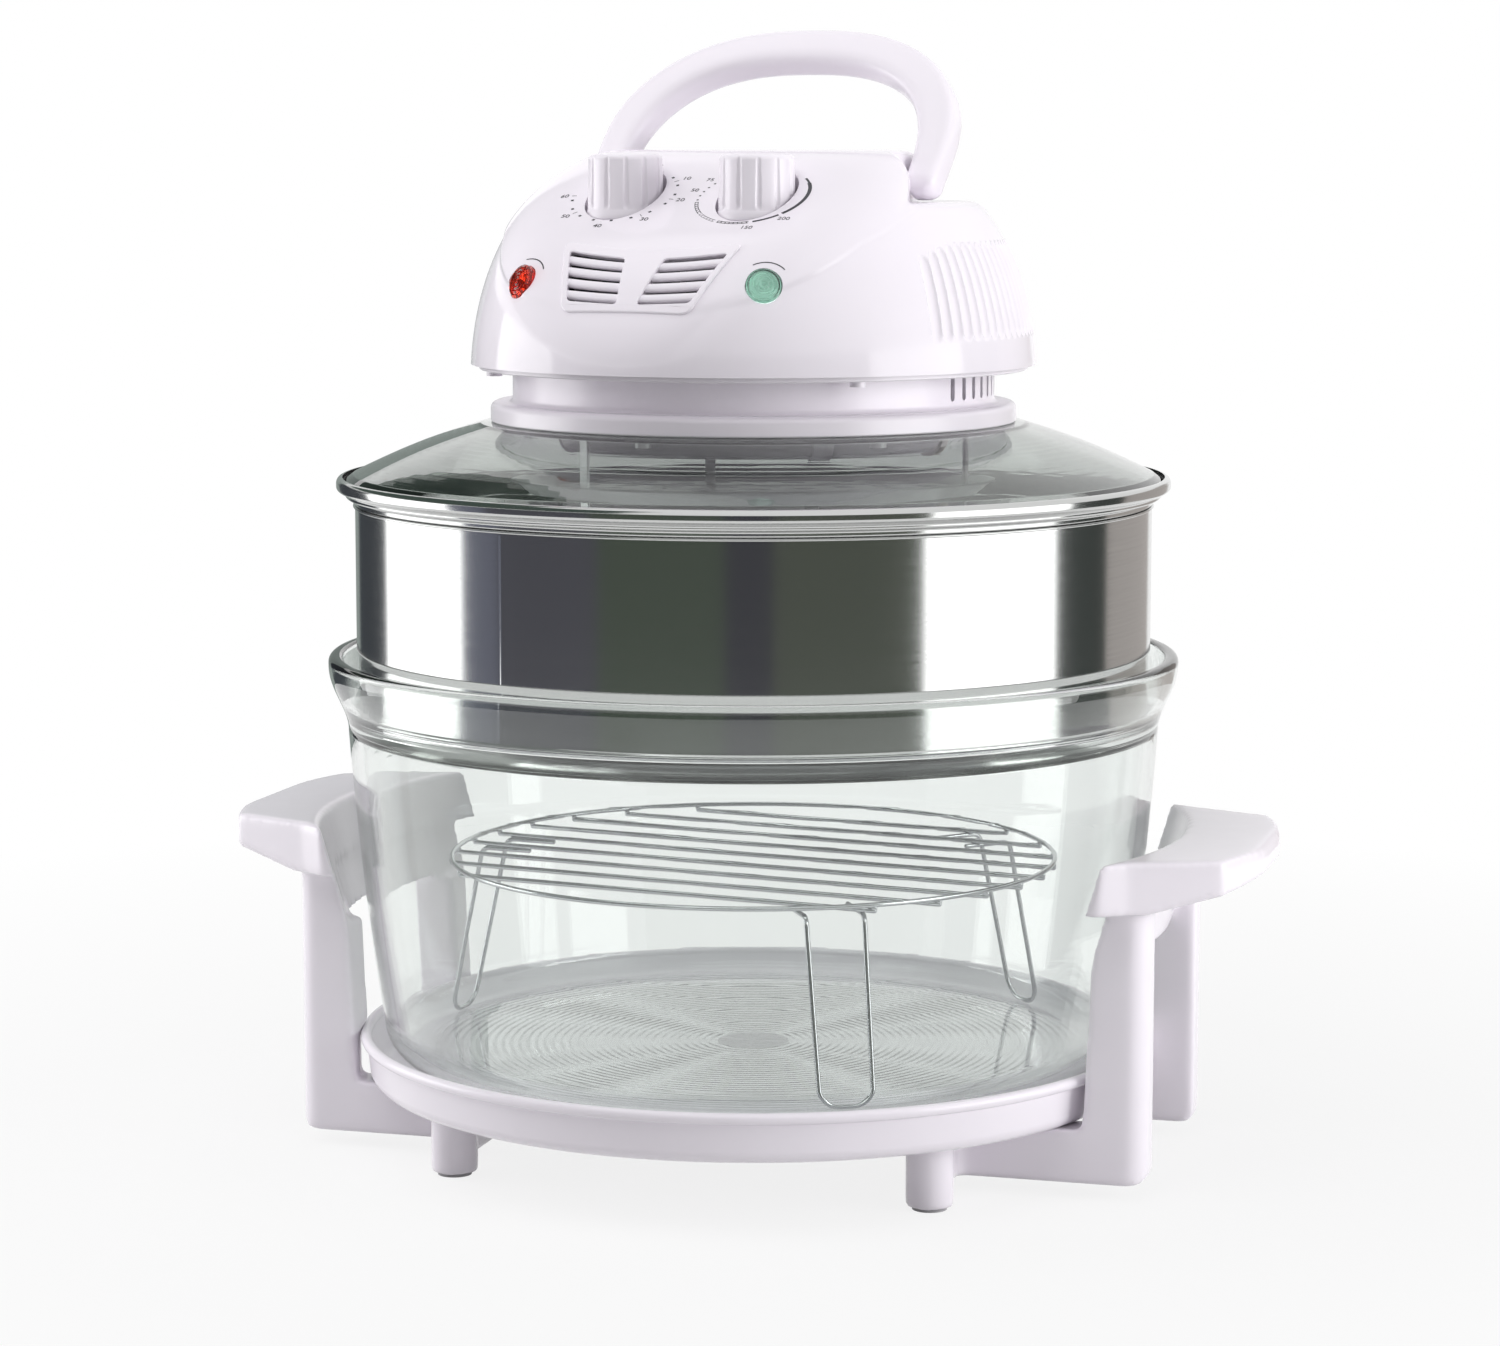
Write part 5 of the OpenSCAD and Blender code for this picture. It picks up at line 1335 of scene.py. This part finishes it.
class OVEN_OT_dials(bpy.types.Operator):
    """Print the marks and plain numbers round the knobs and the arcs over the lamps"""
    bl_idname = "oven.dials"
    bl_label = "Printed dials"
    ink_t = 0.05

    def execute(self, context):
        housing = Housing(context.scene)
        skin = bpy.data.objects["housing"].data
        self.tree = BVHTree.FromPolygons([v.co for v in skin.vertices], [p.vertices for p in skin.polygons])
        ink = printed_ink(context.scene.oven_finish.ink)
        ring_r = context.scene.oven_controls.marks / MM
        shapes = {"timer_marks": (self.timer(ring_r), self.knob_frame(housing, -1)),
                  "thermostat_marks": (self.thermostat(ring_r + 1), self.knob_frame(housing, 1, 1.2)),
                  "power_arc": ([self.sector(9.6, 10, 40, 112)], housing.lens_frame(-1) @ self.upright()),
                  "heat_arc": ([self.sector(9.6, 10, 38, 112)], housing.lens_frame(1) @ self.upright())}
        for name, (meshes, local) in shapes.items():
            mesh = self.laid(name, meshes, HEAD @ local)
            add_piece(name, mesh, ink, "lid")
        return {'FINISHED'}

    def upright(self):
        """Turn from a lamp's own frame, whose X points down, to one whose Y points up."""
        return Matrix.Rotation(math.pi / 2, 4, 'Z')

    def knob_frame(self, housing, side, shift=0.0):
        """Frame of a knob's dial, squeezed front to back because the panel slopes."""
        front, squeeze = 0.9, 0.71
        return (Matrix.Translation((side * housing.knob_x - shift, -housing.knob_y - front, DOME_TOP))
                @ Matrix.Diagonal((1, squeeze, 1, 1)))

    def laid(self, name, meshes, local):
        """Shapes in their own flat frame, dropped along its Z on the housing's skin."""
        work = bmesh.new()
        for mesh in meshes:
            work.from_mesh(mesh)
        bmesh.ops.triangulate(work, faces=work.faces)
        down = (local.to_3x3() @ Vector((0, 0, -1))).normalized()
        proud, above = 0.04, 40
        for vert in work.verts:
            lift = vert.co.z + proud
            start = local @ Vector((vert.co.x, vert.co.y, above))
            hit = self.tree.ray_cast(start * MM, down)[0]
            if hit is None:
                raise RuntimeError(name + " misses the housing")
            vert.co = hit - down * lift * MM
        mesh = bpy.data.meshes.new(name)
        work.to_mesh(mesh)
        work.free()
        return mesh

    def sector(self, inner, outer, start, end):
        """A thin strip along an arc."""
        steps = max(2, int(abs(end - start) / 3))
        outline = arc(0, 0, outer, start, end, steps) + arc(0, 0, inner, end, start, steps)
        points, faces = prism(outline, 0, self.ink_t)
        mesh = bpy.data.meshes.new("strip")
        mesh.from_pydata(points, [], faces)
        return mesh

    def number(self, text, r, a, size):
        """A number as a flat mesh, just outside a circle of marks, at an angle in degrees."""
        curve = bpy.data.curves.new("number", 'FONT')
        curve.body = text
        curve.size = size
        curve.align_x, curve.align_y = 'CENTER', 'CENTER'
        curve.extrude = self.ink_t / 2
        mesh = evaluated(curve)
        beyond_marks = 4.4
        out, turn = r + beyond_marks, math.radians(a)
        mesh.transform(Matrix.Translation((out * math.cos(turn), out * math.sin(turn), curve.extrude)))
        return mesh

    def timer(self, r):
        """Dots, ticks and plain numbers from 0 to 60, clockwise round the left knob."""
        zero, step = 77, 42.5
        shapes = []
        for i in range(7):
            a = zero - step * i
            shapes += [self.sector(r - 0.8, r + 1.2, a - 0.3, a + 0.3), self.number(str(10 * i), r, a, 3.6)]
            if i < 6:
                shapes += [self.sector(r - 0.5, r + 0.6, a - off - 1.6, a - off + 1.6)
                           for off in (step / 4, 3 * step / 4)]
        return shapes

    def thermostat(self, r):
        """A band that steps from dots to open blocks and solid strips, with plain numbers outside."""
        shapes = [self.sector(r - 0.4, r + 0.4, a - 1, a + 1) for a in range(126, 190, 9)]
        for start, end, rail in ((-166, -139, 0.25), (-137, -112, 0.12), (-108, -74, 0.3)):
            shapes += [self.sector(r - 0.75, r - 0.75 + rail, start, end),
                       self.sector(r + 0.75 - rail, r + 0.75, start, end)]
            shapes += [self.sector(r - 0.75, r + 0.75, a, a + 3 * rail) for a in np.arange(start, end, 4.5)]
        shapes += [self.sector(r - 0.55, r + 0.55, -70, -43), self.sector(r - 0.75, r + 0.75, -39, 30),
                   self.sector(r - 0.4, r + 0.5, 30, 42)]
        for a, text in ((170, "50"), (150, "75"), (-75, "150"), (-43, "200")):
            shapes.append(self.number(text, r, a, 3.4))
        return shapes


class OVEN_OT_carry_handle(bpy.types.Operator):
    """Model the arched carry handle with its rounded feet"""
    bl_idname = "oven.carry_handle"
    bl_label = "Carry handle"

    def execute(self, context):
        sizes = context.scene.oven_handle
        housing = Housing(context.scene)
        bar_w, bar_t = sizes.bar_w / MM / 2, sizes.bar_t / MM / 2
        # how far the feet stand out from the block, and how square the arch and the bar are
        spread, arch_shape, bar_shape = 17.5, 0.8, 0.57
        half = housing.pod_half + spread - bar_w
        rise = sizes.arm / MM - bar_w
        turns = np.linspace(0, math.pi, 121)
        path = [(half * power(math.cos(a), arch_shape), 0, rise * power(math.sin(a), arch_shape))
                for a in turns]
        caps = np.radians([88, 75, 60, 45, 30, 15])
        foot = [(half, 0, -bar_t * math.sin(a)) for a in caps]
        path = foot + path + [(-x, y, z) for x, y, z in foot[::-1]]
        scales = np.concatenate([np.cos(caps), np.ones(len(turns)), np.cos(caps[::-1])])
        points, faces = sweep(path, squarish(bar_w, bar_t, bar_shape, 48), (1, 0, 0), scales)
        mesh = new_mesh("carry_bar", ([self.tapered(p, half - bar_w, 2 * bar_w) for p in points], faces))
        bores = []
        for side in (-1, 1):
            eye = Matrix.Translation((side * (half - bar_w), 0, 0))
            eye = eye @ Matrix.Rotation(side * math.pi / 2, 4, 'Y')
            bores.append(placed(drum(0, 0, BORE_R, -3, 11.6, 48), eye))
        mesh = carved(mesh, joined(bores))
        pivot = Matrix.Translation(Vector((0, PIVOT_BACK, housing.ledge + PIVOT_RISE)) * MM)
        mesh.transform(HEAD @ pivot @ Matrix.Rotation(-sizes.lean, 4, 'X'))
        white = moulded_abs("Moulded white handle ABS", context.scene.oven_finish.white, 0.2)
        add_piece("carry_bar", mesh, white, "handle", ["carry_handle"], crease=50)
        return {'FINISHED'}

    def tapered(self, point, inner, width):
        """The point, drawn in towards the bar's inner face where the bar narrows to its foot."""
        x, y, z = point
        taper, height = 3.4, 42
        share = taper / width * float(Housing.ease(height - z, 0, height))
        return math.copysign(inner + (abs(x) - inner) * (1 - share), x), y, z


# Stage

class OVEN_OT_stage(bpy.types.Operator):
    """Set up the floor, the studio's panels, the lamps and the camera"""
    bl_idname = "oven.stage"
    bl_label = "Stage"

    def execute(self, context):
        scene = context.scene
        settings = scene.oven_stage
        scene.view_settings.view_transform = 'Standard'
        self.world(scene, settings.sky)
        self.floor()
        forward = math.degrees(settings.azimuth) - 90
        grey, softbox = 1.5, 2.4
        # directions of the panels' edges from the camera's own, in degrees, and the panels' colours
        edges = (-168, -150, -121.4, -84.1, -71.2, -40.9, -7.3, 5, 44.9, 88.2, 112.3, 150)
        tints = ("7C8380", "36393D", "FFFFFF", "5D5F6B", "47474D", "434A42", "3A3A3F", "484C45", "FFFFFF",
                 "383C3A", "9A9592")
        for start, end, tint in zip(edges, edges[1:], tints):
            self.panel(forward + start, forward + end, linear(tint), softbox if tint == "FFFFFF" else grey)
        # a high dark panel on the left, which the lid's sloping glass reflects
        self.panel(forward - 155, forward - 35, linear("4E5A54"), 1, 0.52, 1.9)
        self.lamp("overhead", (-0.3, -0.3, 1.5), 1.5, settings.key)
        for name, turn, share in (("left softbox", -103, 0.85), ("right softbox", 66, 1)):
            a, away = math.radians(forward + turn), 1.3
            self.lamp(name, (away * math.cos(a), away * math.sin(a), 0.4), 0.8, settings.side * share)
        camera = linked("camera", bpy.data.cameras.new("camera"))
        scene.camera = camera
        camera.data.lens = settings.lens
        camera.data.sensor_width = 36
        turn = Matrix.Rotation(settings.azimuth, 4, 'Z')
        camera.location = turn @ Vector((-settings.side_step, -settings.distance, settings.height))
        camera.rotation_euler = (settings.pitch, 0, settings.azimuth)
        return {'FINISHED'}

    def world(self, scene, sky):
        """White where it is looked at, a plain dimmer light for everything else."""
        scene.world = bpy.data.worlds.new("studio")
        tree = bare_tree(scene.world)
        ambient = add_node(tree, 'ShaderNodeBackground', {"Color": (0.985, 0.97, 1, 1), "Strength": sky})
        white = add_node(tree, 'ShaderNodeBackground', {"Color": (1, 1, 1, 1), "Strength": 1.0})
        mix = add_node(tree, 'ShaderNodeMixShader', {0: self.seen(tree), 1: ambient.outputs[0],
                                                     2: white.outputs[0]})
        add_node(tree, 'ShaderNodeOutputWorld', {"Surface": mix.outputs[0]})

    def seen(self, tree):
        """One for rays that look at the background, straight or by way of metal and glass."""
        rays = add_node(tree, 'ShaderNodeLightPath').outputs
        seen = rays["Is Camera Ray"]
        for name in ("Is Glossy Ray", "Is Transmission Ray"):
            more = add_node(tree, 'ShaderNodeMath', {0: seen, 1: rays[name]}, operation='MAXIMUM')
            seen = more.outputs[0]
        return seen

    def surface(self, name, points, faces):
        """A plain mesh object from points in metres."""
        mesh = bpy.data.meshes.new(name)
        mesh.from_pydata(points, [], faces)
        return linked(name, mesh)

    def floor(self):
        """A pale floor that keeps the shadow near the oven and fades to white further out."""
        half, near, far = 6.0, 0.3, 0.75
        corners = [(-half, -half, 0), (half, -half, 0), (half, half, 0), (-half, half, 0)]
        floor = self.surface("floor", corners, [(0, 1, 2, 3)])
        material = start_material("Pale studio floor", (0.68, 0.68, 0.68), 0.9)
        tree = material.node_tree
        spot = add_node(tree, 'ShaderNodeTexCoord').outputs["Object"]
        away = add_node(tree, 'ShaderNodeVectorMath', {0: spot}, operation='LENGTH').outputs["Value"]
        fade = add_node(tree, 'ShaderNodeMapRange', {"Value": away, "From Min": near, "From Max": far,
                                                     "To Min": 0.84, "To Max": 1.0})
        white = add_node(tree, 'ShaderNodeEmission', {"Color": (1, 1, 1, 1), "Strength": 1.0})
        factor = add_node(tree, 'ShaderNodeMath', {0: self.seen(tree), 1: fade.outputs[0]},
                          operation='MULTIPLY')
        mix = add_node(tree, 'ShaderNodeMixShader', {0: factor.outputs[0], 1: tree.nodes["Finish"].outputs[0],
                                                     2: white.outputs[0]})
        tree.links.new(mix.outputs[0], tree.nodes["Material Output"].inputs["Surface"])
        floor.data.materials.append(material)

    def panel(self, start, end, tint, strength, bottom=0.002, top=0.47):
        """An upright studio panel that only reflections see, between two directions in degrees."""
        r, steps = 1.0, 12
        turns = np.radians(np.linspace(start, end, steps + 1))
        points = [(r * math.cos(a), r * math.sin(a), z) for z in (bottom, top) for a in turns]
        faces = [(i, i + 1, i + steps + 2, i + steps + 1) for i in range(steps)]
        panel = self.surface("studio_panel", points, faces)
        panel.visible_camera = False
        panel.visible_diffuse = False
        panel.visible_shadow = False
        material = bpy.data.materials.new("Studio panel")
        tree = bare_tree(material)
        glow = add_node(tree, 'ShaderNodeEmission', {"Color": (*tint, 1), "Strength": strength})
        add_node(tree, 'ShaderNodeOutputMaterial', {"Surface": glow.outputs[0]})
        panel.data.materials.append(material)

    def lamp(self, name, place_at, size, power):
        """A square lamp that faces the oven and shows in no reflection."""
        light = bpy.data.lights.new(name, 'AREA')
        light.size = size
        light.energy = power
        lamp = linked(name, light)
        lamp.location = place_at
        aim = Vector((0, 0, 0.2)) - Vector(place_at)
        lamp.rotation_euler = aim.to_track_quat('-Z', 'Y').to_euler()
        lamp.visible_glossy = False


OPERATORS = (OVEN_OT_stage, OVEN_OT_stand, OVEN_OT_bowl, OVEN_OT_rack, OVEN_OT_steel, OVEN_OT_lid,
             OVEN_OT_heater, OVEN_OT_housing, OVEN_OT_grille, OVEN_OT_lamps, OVEN_OT_knobs, OVEN_OT_dials,
             OVEN_OT_carry_handle)


class OVEN_PT_panel(bpy.types.Panel):
    """The oven's pieces and the sizes and colours they are made with"""
    bl_idname = "OVEN_PT_panel"
    bl_label = "Halogen Oven"
    bl_space_type = 'VIEW_3D'
    bl_region_type = 'UI'
    bl_category = "Oven"

    def draw(self, context):
        for operator in OPERATORS:
            self.layout.operator(operator.bl_idname)
        for name, group in GROUPS.items():
            box = self.layout.box()
            box.label(text=name.replace("oven_", "").title())
            for key in group.__annotations__:
                box.prop(getattr(context.scene, name), key)


CLASSES = (*GROUPS.values(), *OPERATORS, OVEN_PT_panel)


def register():
    for cls in CLASSES:
        bpy.utils.register_class(cls)
    for name, group in GROUPS.items():
        setattr(bpy.types.Scene, name, bpy.props.PointerProperty(type=group))


def unregister():
    for name in GROUPS:
        delattr(bpy.types.Scene, name)
    for cls in reversed(CLASSES):
        bpy.utils.unregister_class(cls)


def main():
    """Run every operator in order."""
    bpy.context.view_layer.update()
    register()
    for operator in OPERATORS:
        group, name = operator.bl_idname.split(".")
        getattr(getattr(bpy.ops, group), name)()


if __name__ == "__main__":
    main()
